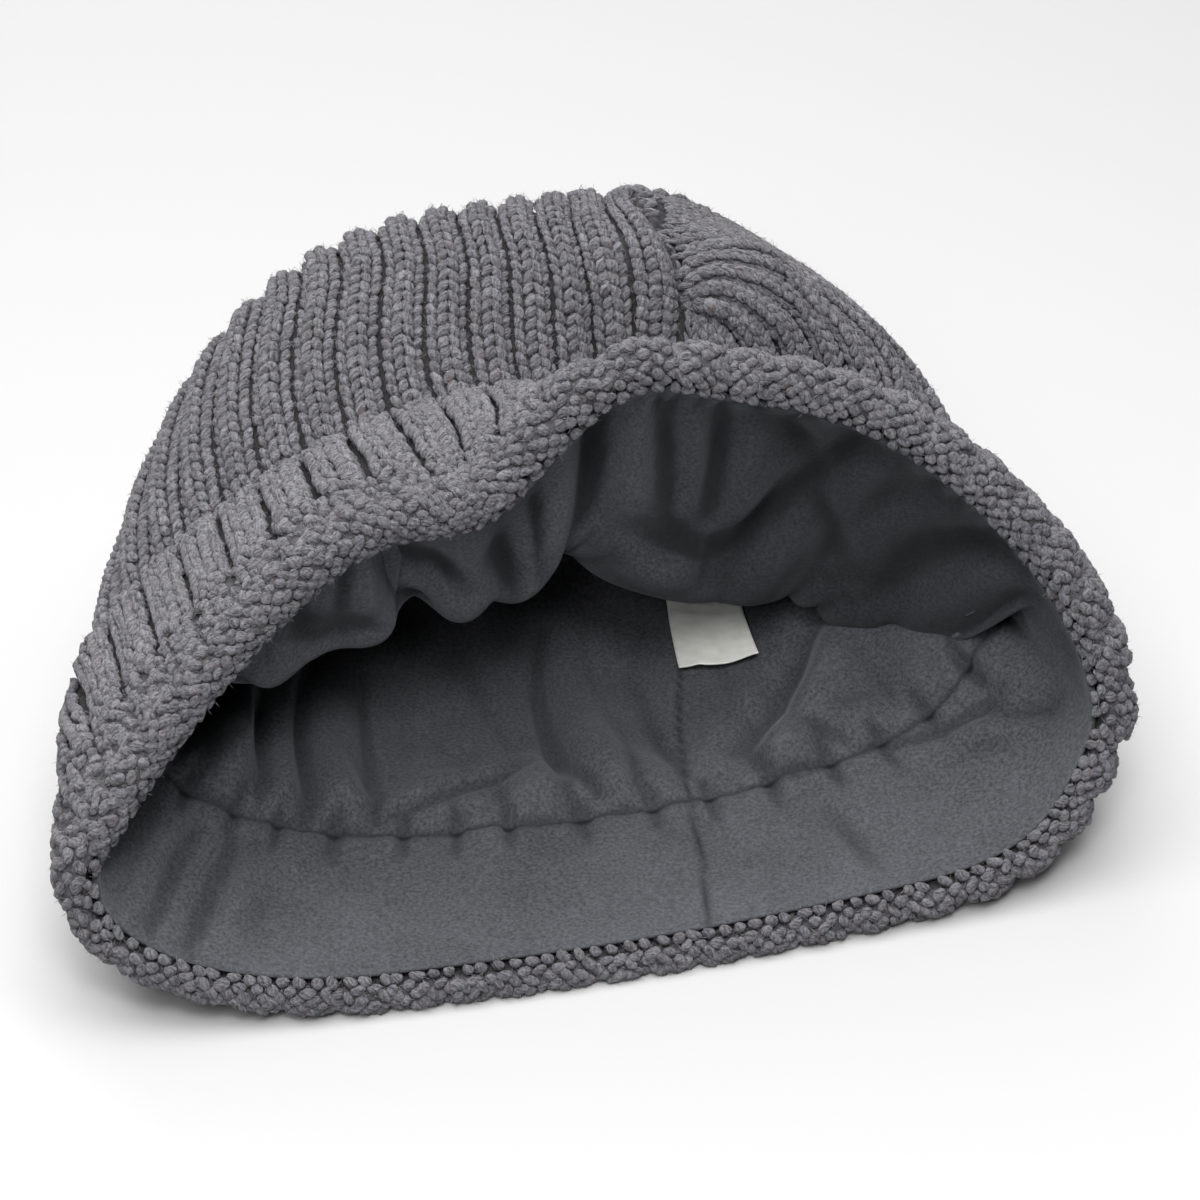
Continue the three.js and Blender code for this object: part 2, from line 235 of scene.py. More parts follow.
def wander(depth: Array, turn: Array, seed: int, cycles: int, length: float) -> Array:
    """Smooth unevenness that closes on itself round the cap.

    Args:
        depth: Distances from the rim in mm.
        turn: Places round the cap in turns.
        seed: Seed of the random waves.
        cycles: Most waves round the cap.
        length: Shortest wavelength along the cap in mm.

    Returns:
        Values of about -1 to 1 for each point.
    """
    rng = np.random.default_rng(seed)
    total = np.zeros(np.broadcast(depth, turn).shape)
    for _ in range(7):
        around = int(rng.integers(max(1, cycles // 3), cycles + 1))
        along = rng.uniform(-1.0, 1.0) / length
        total = total + np.sin(2 * np.pi * (around * turn + along * depth + rng.uniform()))
    return total / 2.6


class CapSurface:
    """Reference surface of one layer, kept as a fine grid of depth rows and turn columns."""

    columns = 1440
    quarter_points = 120

    def __init__(self, points: Array) -> None:
        """Keeps the grid and works out its directions.

        Args:
            points: Grid of points in mm, one row for each mm of depth.
        """
        self.points = points
        rows = len(points)
        after = np.minimum(np.arange(rows) + 1, rows - 1)
        before = np.maximum(np.arange(rows) - 1, 0)
        self.along = unit(points[after] - points[before])
        step = round(0.004 * self.columns)
        around = np.roll(points, -step, axis=1) - np.roll(points, step, axis=1)
        self.out = unit(np.cross(self.along, around))

    @classmethod
    def of_sections(cls) -> "CapSurface":
        """Surface through the cross sections, with the folds of the whole cap.

        Returns:
            The surface.
        """
        rows = np.arange(0.0, SECTIONS[-1, 0] + 1)
        value = {name: cls._column(rows, i) for i, name in enumerate(SECTION_COLUMNS)}
        names = ("low", "right", "top", "left")
        poles = [np.stack([value[n + axis] for axis in "XYZ"], -1) for n in names]
        full = [value[n + "Full"][:, None] for n in names]

        def handle(index: int, towards: int) -> Array:
            """Tangent at a pole, longer on the side where the next pole is further.

            Args:
                index: Number of the pole.
                towards: 1 for the curve that leaves it, -1 for the one that arrives.

            Returns:
                One tangent for each cross section.
            """
            here = poles[index % 4]
            onward = np.linalg.norm(here - poles[(index + towards) % 4], axis=1)
            back = np.linalg.norm(here - poles[(index - towards) % 4], axis=1)
            share = (2 * onward / (onward + back + 1e-9))[:, None]
            return (poles[(index + 1) % 4] - poles[(index - 1) % 4]) * full[index % 4] * share

        t = (np.arange(cls.quarter_points) / cls.quarter_points)[None, :, None]
        quarters = []
        for quarter in range(4):
            start, end = poles[quarter][:, None], poles[(quarter + 1) % 4][:, None]
            leave, arrive = handle(quarter, 1)[:, None], handle(quarter + 1, -1)[:, None]
            quarters.append(hermite(t, start, end, leave, arrive))
        curves = np.concatenate([*quarters, quarters[0][:, :1]], axis=1)
        steps = np.linalg.norm(np.diff(curves, axis=1), axis=2)
        lengths = np.concatenate([np.zeros((len(rows), 1)), np.cumsum(steps, 1)], axis=1)
        turns = np.arange(cls.columns) / cls.columns
        grid = np.empty((len(rows), cls.columns, 3))
        for row in range(len(rows)):
            target = (turns + value["twist"][row]) % 1.0 * lengths[row, -1]
            for axis in range(3):
                grid[row, :, axis] = np.interp(target, lengths[row], curves[row, :, axis])
        return cls(grid + np.array(SHIFT)).moved(SHELL_FOLDS)

    @staticmethod
    def _column(rows: Array, index: int) -> Array:
        """Smooth curve through one column of the section table.

        Args:
            rows: Depths.
            index: Number of the column.

        Returns:
            One value for each depth.
        """
        x, y = SECTIONS[:, 0], SECTIONS[:, index]
        span = np.diff(x)
        slope = np.diff(y) / span
        tangent = np.concatenate([slope[:1], np.zeros(len(x) - 2), slope[-1:]])
        tangent[1:-1] = (slope[1:] * span[:-1] + slope[:-1] * span[1:]) / (span[:-1] + span[1:])
        at = np.clip(np.searchsorted(x, rows, side="right") - 1, 0, len(x) - 2)
        t = (rows - x[at]) / span[at]
        return hermite(t, y[at], y[at + 1], tangent[at] * span[at], tangent[at + 1] * span[at])

    def _grid(self) -> tuple[Array, Array]:
        """Depth and turn of every grid point."""
        rows = np.arange(len(self.points), dtype=float)[:, None]
        return np.meshgrid(rows[:, 0], np.arange(self.columns) / self.columns, indexing="ij")

    def moved(self, folds: tuple[Fold, ...],
              ease: Callable[[Array], Array] | None = None) -> "CapSurface":
        """This surface with folds in it.

        Args:
            folds: The folds.
            ease: Strength of the folds at each depth, 1 everywhere if left out.

        Returns:
            The folded surface.
        """
        depth, turn = self._grid()
        strength = ease(depth) if ease else np.ones_like(depth)
        points = self.points.copy()
        for fold in folds:
            weight = (fold.weight(depth, turn) * strength)[..., None]
            points += weight * (np.array(fold.move) - fold.inwards * self.out)
        return CapSurface(points)

    def raised(self, height: Callable[[Array, Array], Array]) -> "CapSurface":
        """This surface moved inwards by a height at each depth and turn, in mm."""
        depth, turn = self._grid()
        return CapSurface(self.points - self.out * height(depth, turn)[..., None])

    def kept_over(self, shell: "CapSurface", clear: float) -> "CapSurface":
        """This surface, with the right of its raised side held over another one's lower side.

        Args:
            shell: The surface whose lower side is the floor.
            clear: Height over that floor which it softly keeps, in mm.

        Returns:
            The held surface.
        """
        deepest, softness = 130, 2.0
        points = self.points.copy()
        low, high, end = (round(turn * self.columns) for turn in (0.31, 0.33, 0.50))
        fade = smooth_step((np.arange(high, end) / self.columns - 0.335) / 0.03)
        for held, lying in zip(points[:deepest, high:end], shell.points[:deepest, :low]):
            floor = np.interp(held[:, 0], lying[:, 0], lying[:, 2])
            gap = (held[:, 2] - floor - clear) / softness
            held[:, 2] += fade * (np.logaddexp(0.0, gap) - gap) * softness
        return CapSurface(points)

    def _sample(self, grid: Array, depth: Array, turn: Array) -> Array:
        """Values of a grid between its points.

        Args:
            grid: Vectors, one for each grid point.
            depth: Distances from the rim in mm.
            turn: Places round the cap in turns.

        Returns:
            One vector for each place.
        """
        depth, turn = np.broadcast_arrays(depth, turn)
        row = np.clip(depth, 0.0, POLE_DEPTH)
        r0 = np.minimum(row.astype(int), len(grid) - 2)
        column = turn % 1.0 * self.columns
        c0 = column.astype(int) % self.columns
        c1 = (c0 + 1) % self.columns
        fr, fc = (row - r0)[..., None], (column - np.floor(column))[..., None]
        near = grid[r0, c0] * (1 - fc) + grid[r0, c1] * fc
        far = grid[r0 + 1, c0] * (1 - fc) + grid[r0 + 1, c1] * fc
        return near * (1 - fr) + far * fr

    def at(self, depth: Array, turn: Array, offset: Any = 0.0) -> Array:
        """Points off the surface.

        Args:
            depth: Distances from the rim in mm. Below 0 the surface runs on past the rim.
            turn: Places round the cap in turns.
            offset: Distances outwards in mm.

        Returns:
            Points in mm.
        """
        past = np.minimum(depth, 0.0)[..., None]
        lift = np.broadcast_to(np.asarray(offset, dtype=float), np.broadcast(depth, turn).shape)
        out, along = self._sample(self.out, depth, turn), self._sample(self.along, depth, turn)
        return self._sample(self.points, depth, turn) + out * lift[..., None] + along * past


# --------------------------------------------------------------------------- meshes


def linked(name: str, data: bpy.types.ID) -> Object:
    """New object with this data, linked to the scene.

    Args:
        name: Name of the object.
        data: Its mesh, light or camera.

    Returns:
        The object.
    """
    thing = bpy.data.objects.new(name, data)
    bpy.context.scene.collection.objects.link(thing)
    return thing


def outwards_faces(points: Array, faces: list[list[int]], quads: Array) -> list[list[int]]:
    """Faces of a closed mesh, turned round if they point inwards.

    Args:
        points: Points of the mesh.
        faces: Corner indices of each face.
        quads: The four-cornered ones among them, as an array.

    Returns:
        The faces.
    """
    corners = points[quads]
    area = np.cross(corners[:, 2] - corners[:, 0], corners[:, 3] - corners[:, 1])
    return [face[::-1] for face in faces] if float((corners.mean(1) * area).sum()) < 0 else faces


def new_mesh_object(name: str, points: Array, faces: list[list[int]], smooth: bool = True) -> Object:
    """Mesh object at the origin from points in mm.

    Args:
        name: Name of the object.
        points: Points in mm.
        faces: Corner indices of each face.
        smooth: Whether the faces are shaded smooth.

    Returns:
        The new object, linked to the scene.
    """
    mesh = bpy.data.meshes.new(name)
    mesh.from_pydata((points * MM).tolist(), [], faces)
    mesh.shade_smooth() if smooth else mesh.shade_flat()
    mesh.update()
    return linked(name, mesh)


def shell_from_rings(name: str, rings: list[Array], ends: tuple[Array, Array] | None) -> Object:
    """Closed shell through rings of equal point counts.

    Args:
        name: Name of the object.
        rings: Rings of points in mm, each (count, 3), in order along the shell's wall.
        ends: Closing points before the first and after the last ring, or None to close the
            last ring on the first.

    Returns:
        The shell, with its faces pointing outwards.
    """
    count = len(rings[0])
    points = np.concatenate(rings)
    rows = np.arange(len(rings) - (1 if ends else 0))[:, None]
    here = np.arange(count)[None]
    after = (here + 1) % count
    upper = (rows + 1) % len(rings)
    quads = np.stack([
        rows * count + here, upper * count + here, upper * count + after, rows * count + after,
    ], -1).reshape(-1, 4)
    faces = quads.tolist()
    if ends:
        first, last = len(points), len(points) + 1
        points = np.concatenate([points, np.stack(ends)])
        tail = (len(rings) - 1) * count
        ring = range(count)
        faces += [[first, i, (i + 1) % count] for i in ring]
        faces += [[last, tail + (i + 1) % count, tail + i] for i in ring]
    faces = outwards_faces(points, faces, quads)
    points[:, 2] = np.maximum(points[:, 2], 0.0)
    return new_mesh_object(name, points, faces)


def triangle_count(piece: Object) -> int:
    """Triangles in a piece's mesh."""
    piece.data.calc_loop_triangles()
    return len(piece.data.loop_triangles)


def set_attribute(piece: Object, name: str, kind: str, values: Array) -> None:
    """Stores one value for each vertex.

    Args:
        piece: Object to store it on.
        name: Name of the attribute.
        kind: FLOAT or FLOAT_VECTOR.
        values: Values in vertex order.
    """
    attribute = piece.data.attributes.new(name, kind, "POINT")
    field = "value" if kind == "FLOAT" else "vector"
    attribute.data.foreach_set(field, np.ascontiguousarray(values, np.float32).ravel())


# ------------------------------------------------------------------- node trees


def add_node(tree: Tree, kind: str, settings: dict[str, Any] | None = None,
             **inputs: Any) -> bpy.types.Node:
    """Adds a node with its settings, values and links.

    Args:
        tree: Tree to add it to.
        kind: Identifier of the node type.
        settings: Properties of the node.
        **inputs: Values or output sockets for inputs, by socket name with spaces as
            underscores, or in_N for input number N.

    Returns:
        The new node.
    """
    node = tree.nodes.new(kind)
    for key, value in (settings or {}).items():
        setattr(node, key, value)
    for key, value in inputs.items():
        if key.startswith("in_"):
            socket = node.inputs[int(key[3:])]
        else:
            socket = node.inputs[key.replace("_", " ")]
        if isinstance(value, bpy.types.NodeSocket):
            tree.links.new(value, socket)
        else:
            socket.default_value = value
    return node


def linear(code: str, alpha: float = 1.0) -> tuple[float, float, float, float]:
    """Linear colour from an sRGB hex code."""
    parts = [int(code[i:i + 2], 16) / 255 for i in (1, 3, 5)]
    return (*[p / 12.92 if p <= 0.04045 else ((p + 0.055) / 1.055) ** 2.4 for p in parts], alpha)


def new_tree(name: str, **sizes: float) -> tuple[Tree, bpy.types.Node]:
    """Geometry node tree with named inputs.

    Args:
        name: Name of the tree.
        **sizes: Default value of each input, by name with spaces as underscores, a whole number
            for an input that counts.

    Returns:
        The tree and its group input node.
    """
    tree = bpy.data.node_groups.new(name, "GeometryNodeTree")
    tree.is_modifier = True
    face = tree.interface
    face.new_socket("Geometry", in_out="INPUT", socket_type="NodeSocketGeometry")
    for key, value in sizes.items():
        kind = "NodeSocketInt" if isinstance(value, int) else "NodeSocketFloat"
        face.new_socket(key.replace("_", " "), in_out="INPUT", socket_type=kind).default_value = value
    face.new_socket("Material", in_out="INPUT", socket_type="NodeSocketMaterial")
    face.new_socket("Geometry", in_out="OUTPUT", socket_type="NodeSocketGeometry")
    return tree, add_node(tree, "NodeGroupInput")


def close_tree(tree: Tree, given: bpy.types.Node, geometry: bpy.types.NodeSocket) -> None:
    """Ends a tree in realised instances with their material.

    Args:
        tree: The tree.
        given: Its group input node.
        geometry: Socket of the instances.
    """
    real = add_node(tree, "GeometryNodeRealizeInstances", in_0=geometry)
    dressed = add_node(
        tree, "GeometryNodeSetMaterial", Geometry=real.outputs[0], Material=given.outputs["Material"],
    )
    add_node(tree, "NodeGroupOutput", in_0=dressed.outputs[0])


def grown(name: str, seedbed: Object, tree: Tree, material: Material, **values: float) -> Object:
    """Plain mesh object that a tree makes from an object, which is then removed.

    Args:
        name: Name of the new object.
        seedbed: Object that carries the points.
        tree: Geometry node tree.
        material: Material of the result.
        **values: Values for the tree's inputs, by name with spaces as underscores.

    Returns:
        The new object.
    """
    modifier = seedbed.modifiers.new("Grow", "NODES")
    modifier.node_group = tree
    wanted: dict[str, Any] = {**values, "Material": material}
    for item in tree.interface.items_tree:
        if item.in_out == "INPUT" and item.name.replace(" ", "_") in wanted:
            modifier[item.identifier] = wanted[item.name.replace(" ", "_")]
    graph = bpy.context.evaluated_depsgraph_get()
    ready = seedbed.evaluated_get(graph)
    mesh = bpy.data.meshes.new_from_object(ready, preserve_all_data_layers=True, depsgraph=graph)
    seedbed.modifiers.remove(modifier)
    old = seedbed.data
    bpy.data.objects.remove(seedbed)
    bpy.data.meshes.remove(old)
    mesh.name = name
    points = np.empty(len(mesh.vertices) * 3, np.float32)
    mesh.vertices.foreach_get("co", points)
    points = points.reshape(-1, 3)
    points[:, 2] = np.maximum(points[:, 2], 0.0)
    mesh.vertices.foreach_set("co", points.ravel())
    mesh.update()
    return linked(name, mesh)


def fuzz_of(name: str, yarns: list[Object], tree: Tree, material: Material, **values: float) -> Object:
    """Loose fibres of several yarn pieces, as one object.

    Args:
        name: Name of the new object.
        yarns: Pieces grown from a yarn plan.
        tree: Tree that scatters the fibres.
        material: Material of the fibres.
        **values: Values for the tree's inputs.

    Returns:
        The new object.
    """
    seedbed = linked(name + "_seedbed", bpy.data.meshes.new(name + "_seedbed"))
    joined = bmesh.new()
    for yarn in yarns:
        joined.from_mesh(yarn.data)
    joined.to_mesh(seedbed.data)
    joined.free()
    return grown(name, seedbed, tree, material, **values)


def clear_plan(piece: Object) -> None:
    """Removes the attributes that only the trees needed.

    Args:
        piece: Object to remove them from.
    """
    for spare in ("leg_axis", "leg_face", "leg_size"):
        if spare in piece.data.attributes:
            piece.data.attributes.remove(piece.data.attributes[spare])


def yarn_tree() -> Tree:
    """Tree that puts one plump length of yarn on each point, along its stored axis.

    Returns:
        The tree.
    """
    tree, given = new_tree(
        "Yarn legs", Thickness=0.0023, Width=0.0024, Length=0.0048, Taper=0.25, Bow=0.12, Jitter=0.1, Seed=7,
    )
    grain = add_node(tree, "GeometryNodeMeshUVSphere", Segments=6, Rings=4, Radius=0.5)
    strand = add_node(
        tree, "GeometryNodeStoreNamedAttribute", {"data_type": "FLOAT2", "domain": "CORNER"},
        Geometry=grain.outputs["Mesh"], Name="strand", Value=grain.outputs["UV Map"],
    )
    place = add_node(tree, "GeometryNodeInputPosition")
    part = add_node(tree, "ShaderNodeSeparateXYZ", in_0=place.outputs[0])
    times, times_plus = {"operation": "MULTIPLY"}, {"operation": "MULTIPLY_ADD"}
    height = part.outputs["Z"]
    # Thinner towards one end, by the taper, and bowed to one side by the square of the height
    narrow = add_node(tree, "ShaderNodeMath", times, in_0=height, in_1=given.outputs["Taper"])
    keep = add_node(tree, "ShaderNodeMath", {"operation": "SUBTRACT"}, in_0=1.0, in_1=narrow.outputs[0])
    square = add_node(tree, "ShaderNodeMath", times, in_0=height, in_1=height)
    bow = add_node(tree, "ShaderNodeMath", times, in_0=square.outputs[0], in_1=given.outputs["Bow"])
    bent = add_node(tree, "ShaderNodeMath", times_plus, in_0=bow.outputs[0], in_1=-4.0, in_2=0.0)
    side = add_node(
        tree, "ShaderNodeMath", times_plus, in_0=part.outputs["X"], in_1=keep.outputs[0],
        in_2=bent.outputs[0],
    )
    across = add_node(tree, "ShaderNodeMath", times, in_0=part.outputs["Y"], in_1=keep.outputs[0])
    shape = add_node(tree, "ShaderNodeCombineXYZ", X=side.outputs[0], Y=across.outputs[0], Z=height)
    size = add_node(
        tree, "ShaderNodeCombineXYZ", X=given.outputs["Thickness"], Y=given.outputs["Width"],
        Z=given.outputs["Length"],
    )
    scaled = add_node(tree, "ShaderNodeVectorMath", times, in_0=shape.outputs[0], in_1=size.outputs[0])
    formed = add_node(
        tree, "GeometryNodeSetPosition", Geometry=strand.outputs["Geometry"], Position=scaled.outputs[0],
    )
    soft = add_node(tree, "GeometryNodeSetShadeSmooth", in_0=formed.outputs[0])
    axis, face, girth = (
        add_node(tree, "GeometryNodeInputNamedAttribute", {"data_type": "FLOAT_VECTOR"}, Name=name)
        for name in ("leg_axis", "leg_face", "leg_size")
    )
    turned = add_node(
        tree, "FunctionNodeAxesToRotation", {"primary_axis": "Z", "secondary_axis": "X"},
        in_0=axis.outputs[0], in_1=face.outputs[0],
    )
    low = add_node(tree, "ShaderNodeMath", times, in_0=given.outputs["Jitter"], in_1=-1.0)
    shake = add_node(
        tree, "FunctionNodeRandomValue", {"data_type": "FLOAT_VECTOR"},
        Min=low.outputs[0], Max=given.outputs["Jitter"], Seed=given.outputs["Seed"],
    )
    spin = add_node(tree, "FunctionNodeEulerToRotation", in_0=shake.outputs[0])
    loose = add_node(
        tree, "FunctionNodeRotateRotation", {"rotation_space": "LOCAL"}, in_0=turned.outputs[0],
        in_1=spin.outputs[0],
    )
    put = add_node(
        tree, "GeometryNodeInstanceOnPoints", Points=given.outputs["Geometry"], Instance=soft.outputs[0],
        Rotation=loose.outputs[0], Scale=girth.outputs[0],
    )
    close_tree(tree, given, put.outputs[0])
    return tree


def fuzz_tree() -> Tree:
    """Tree that scatters short curled fibres over the outer side of yarn legs.

    Returns:
        The tree.
    """
    tree, given = new_tree(
        "Loose fibres", Density=100000.0, Fibre_Length=0.002, Fibre_Radius=0.000065, Curl=0.0005, Sink=0.0002,
        Seed=3,
    )
    normal = add_node(tree, "GeometryNodeInputNormal")
    outwards = add_node(
        tree, "GeometryNodeInputNamedAttribute", {"data_type": "FLOAT_VECTOR"}, Name="leg_face",
    )
    facing = add_node(
        tree, "ShaderNodeVectorMath", {"operation": "DOT_PRODUCT"}, in_0=normal.outputs[0],
        in_1=outwards.outputs[0],
    )
    seen = add_node(
        tree, "FunctionNodeCompare", {"data_type": "FLOAT", "operation": "GREATER_THAN"},
        in_0=facing.outputs["Value"], in_1=0.25,
    )
    strewn = add_node(
        tree, "GeometryNodeDistributePointsOnFaces", Mesh=given.outputs["Geometry"],
        Selection=seen.outputs[0],
        Density=given.outputs["Density"], Seed=given.outputs["Seed"],
    )
    grain = add_node(tree, "GeometryNodeMeshUVSphere", Segments=3, Rings=2, Radius=0.5)
    place = add_node(tree, "GeometryNodeInputPosition")
    part = add_node(tree, "ShaderNodeSeparateXYZ", in_0=place.outputs[0])
    times = {"operation": "MULTIPLY"}
    height = part.outputs["Z"]
    square = add_node(tree, "ShaderNodeMath", times, in_0=height, in_1=height)
    wide = add_node(tree, "ShaderNodeMath", times, in_0=given.outputs["Fibre Radius"], in_1=2.0)
    bent = add_node(tree, "ShaderNodeMath", times, in_0=square.outputs[0], in_1=given.outputs["Curl"])
    side = add_node(
        tree, "ShaderNodeMath", {"operation": "MULTIPLY_ADD"}, in_0=part.outputs["X"], in_1=wide.outputs[0],
        in_2=bent.outputs[0],
    )
    across = add_node(tree, "ShaderNodeMath", times, in_0=part.outputs["Y"], in_1=wide.outputs[0])
    raised = add_node(tree, "ShaderNodeMath", {"operation": "ADD"}, in_0=height, in_1=0.5)
    tall = add_node(tree, "ShaderNodeMath", times, in_0=raised.outputs[0], in_1=given.outputs["Fibre Length"])
    sunk = add_node(
        tree, "ShaderNodeMath", {"operation": "SUBTRACT"}, in_0=tall.outputs[0], in_1=given.outputs["Sink"],
    )
    shape = add_node(tree, "ShaderNodeCombineXYZ", X=side.outputs[0], Y=across.outputs[0], Z=sunk.outputs[0])
    hair = add_node(
        tree, "GeometryNodeSetPosition", Geometry=grain.outputs["Mesh"], Position=shape.outputs[0],
    )
    lean = add_node(
        tree, "FunctionNodeRandomValue", {"data_type": "FLOAT_VECTOR"},
        Min=(0.75, -0.3, -3.14), Max=(1.0, 0.3, 3.14), Seed=given.outputs["Seed"],
    )
    tilt = add_node(tree, "ShaderNodeVectorMath", times, in_0=lean.outputs[0], in_1=(1.45, 1.0, 0.0))
    whirl = add_node(tree, "ShaderNodeVectorMath", times, in_0=lean.outputs[0], in_1=(0.0, 0.0, 1.0))
    about = add_node(tree, "FunctionNodeEulerToRotation", in_0=whirl.outputs[0])
    down = add_node(tree, "FunctionNodeEulerToRotation", in_0=tilt.outputs[0])
    spun = add_node(
        tree, "FunctionNodeRotateRotation", {"rotation_space": "LOCAL"},
        in_0=strewn.outputs["Rotation"], in_1=about.outputs[0],
    )
    turned = add_node(
        tree, "FunctionNodeRotateRotation", {"rotation_space": "LOCAL"}, in_0=spun.outputs[0],
        in_1=down.outputs[0],
    )
    put = add_node(
        tree, "GeometryNodeInstanceOnPoints", Points=strewn.outputs["Points"],
        Instance=hair.outputs[0], Rotation=turned.outputs[0],
    )
    close_tree(tree, given, put.outputs[0])
    return tree


# --------------------------------------------------------------------- finishes


def blank_material(name: str) -> tuple[Material, Tree]:
    """A new material with an empty node tree.

    Args:
        name: Name of the material.

    Returns:
        The material and its tree.
    """
    material = bpy.data.materials.new(name)
    material.use_nodes = True
    material.node_tree.nodes.clear()
    return material, material.node_tree


@dataclass(frozen=True)
class HeatheredWool:
    """Chunky wool yarn, loosely plied from mixed grey fibres. The mix is drawn coarse enough to show.

    The eye gets a matt mid grey with lighter and brownish fibres in it, a soft halo, and dark hollows between
    the stitches, which the tint attribute deepens with painted shade.
    """

    name: str
    base: str = "#606066"
    light: str = "#8d8c92"
    dark: str = "#333338"
    warm: str = "#6f5e59"
    fibre_mm: float = 0.7
    patch_mm: float = 7.0
    ply_turns: float = 0.55
    roughness: float = 0.92
    sheen: float = 0.35

    def make(self) -> Material:
        """The material's node tree, on Object coordinates and the yarn's own attributes.

        Returns:
            The material.
        """
        material, tree = blank_material(self.name)
        where = add_node(tree, "ShaderNodeTexCoord").outputs["Object"]
        fibres = add_node(
            tree, "ShaderNodeTexNoise", Vector=where, Scale=1 / (self.fibre_mm * MM), Detail=3.0,
            Roughness=0.65,
        )
        patches = add_node(
            tree, "ShaderNodeTexNoise", Vector=where, Scale=1 / (self.patch_mm * MM), Detail=2.0,
        )
        flecks = add_node(
            tree, "ShaderNodeTexNoise", Vector=where, Scale=0.45 / (self.fibre_mm * MM), Detail=2.0,
            Distortion=1.5,
        )
        strand = add_node(tree, "ShaderNodeAttribute", {"attribute_name": "strand"})
        part = add_node(tree, "ShaderNodeSeparateXYZ", in_0=strand.outputs["Vector"])
        twist = add_node(
            tree, "ShaderNodeMath", {"operation": "MULTIPLY_ADD"}, in_0=part.outputs["Y"],
            in_1=self.ply_turns, in_2=part.outputs["X"],
        )
        tint = add_node(tree, "ShaderNodeAttribute", {"attribute_name": "tint"})
        spun = add_node(
            tree, "ShaderNodeCombineXYZ", X=twist.outputs[0], Y=part.outputs["Y"], Z=tint.outputs["Fac"],
        )
        wound = add_node(
            tree, "ShaderNodeVectorMath", {"operation": "MULTIPLY"}, in_0=spun.outputs[0],
            in_1=(11.0, 1.8, 90.0),
        )
        hairs = add_node(
            tree, "ShaderNodeTexNoise", Vector=wound.outputs[0], Scale=1.0, Detail=3.0, Roughness=0.7,
        )
        both = add_node(
            tree, "ShaderNodeMix", {"data_type": "FLOAT"}, in_0=0.6, in_2=fibres.outputs["Fac"],
            in_3=hairs.outputs["Fac"],
        )
        pale = add_node(tree, "ShaderNodeMapRange", Value=both.outputs[0], From_Min=0.4, From_Max=0.6)
        mixed = add_node(
            tree, "ShaderNodeMix", {"data_type": "RGBA"}, in_0=pale.outputs[0],
            in_6=linear(self.dark), in_7=linear(self.light),
        )
        toned = add_node(
            tree, "ShaderNodeMix", {"data_type": "RGBA"}, in_0=0.85, in_6=linear(self.base),
            in_7=mixed.outputs[2],
        )
        fleck = add_node(
            tree, "ShaderNodeMapRange", Value=flecks.outputs["Fac"], From_Min=0.6, From_Max=0.72, To_Max=0.6,
        )
        warmed = add_node(
            tree, "ShaderNodeMix", {"data_type": "RGBA"}, in_0=fleck.outputs[0],
            in_6=toned.outputs[2], in_7=linear(self.warm),
        )
        # The tint attribute scales the lightness: a random tone on the stitch legs, and painted shade on the
        # purl bumps and in the ground's grooves
        value = add_node(
            tree, "ShaderNodeMath", {"operation": "MULTIPLY_ADD"}, in_0=tint.outputs["Fac"], in_1=0.28,
            in_2=0.82,
        )
        patch = add_node(
            tree, "ShaderNodeMapRange", Value=patches.outputs["Fac"], From_Min=0.3, From_Max=0.7, To_Min=0.92,
            To_Max=1.08,
        )
        level = add_node(
            tree, "ShaderNodeMath", {"operation": "MULTIPLY"}, in_0=value.outputs[0], in_1=patch.outputs[0],
        )
        shaded = add_node(
            tree, "ShaderNodeMix", {"data_type": "RGBA", "blend_type": "MULTIPLY"}, in_0=1.0,
            in_6=warmed.outputs[2], in_7=level.outputs[0],
        )
        relief = add_node(
            tree, "ShaderNodeMath", {"operation": "MULTIPLY_ADD"}, in_0=hairs.outputs["Fac"], in_1=1.0,
            in_2=fibres.outputs["Fac"],
        )
        bump = add_node(tree, "ShaderNodeBump", Strength=1.0, Distance=0.9 * MM, Height=relief.outputs[0])
        shader = add_node(
            tree, "ShaderNodeBsdfPrincipled", Base_Color=shaded.outputs[2], Normal=bump.outputs[0],
            Roughness=self.roughness, Sheen_Weight=self.sheen, Sheen_Roughness=0.45, Specular_IOR_Level=0.2,
        )
        shader.inputs["Sheen Tint"].default_value = linear("#c9c6c8")
        add_node(tree, "ShaderNodeOutputMaterial", Surface=shader.outputs[0])
        return material


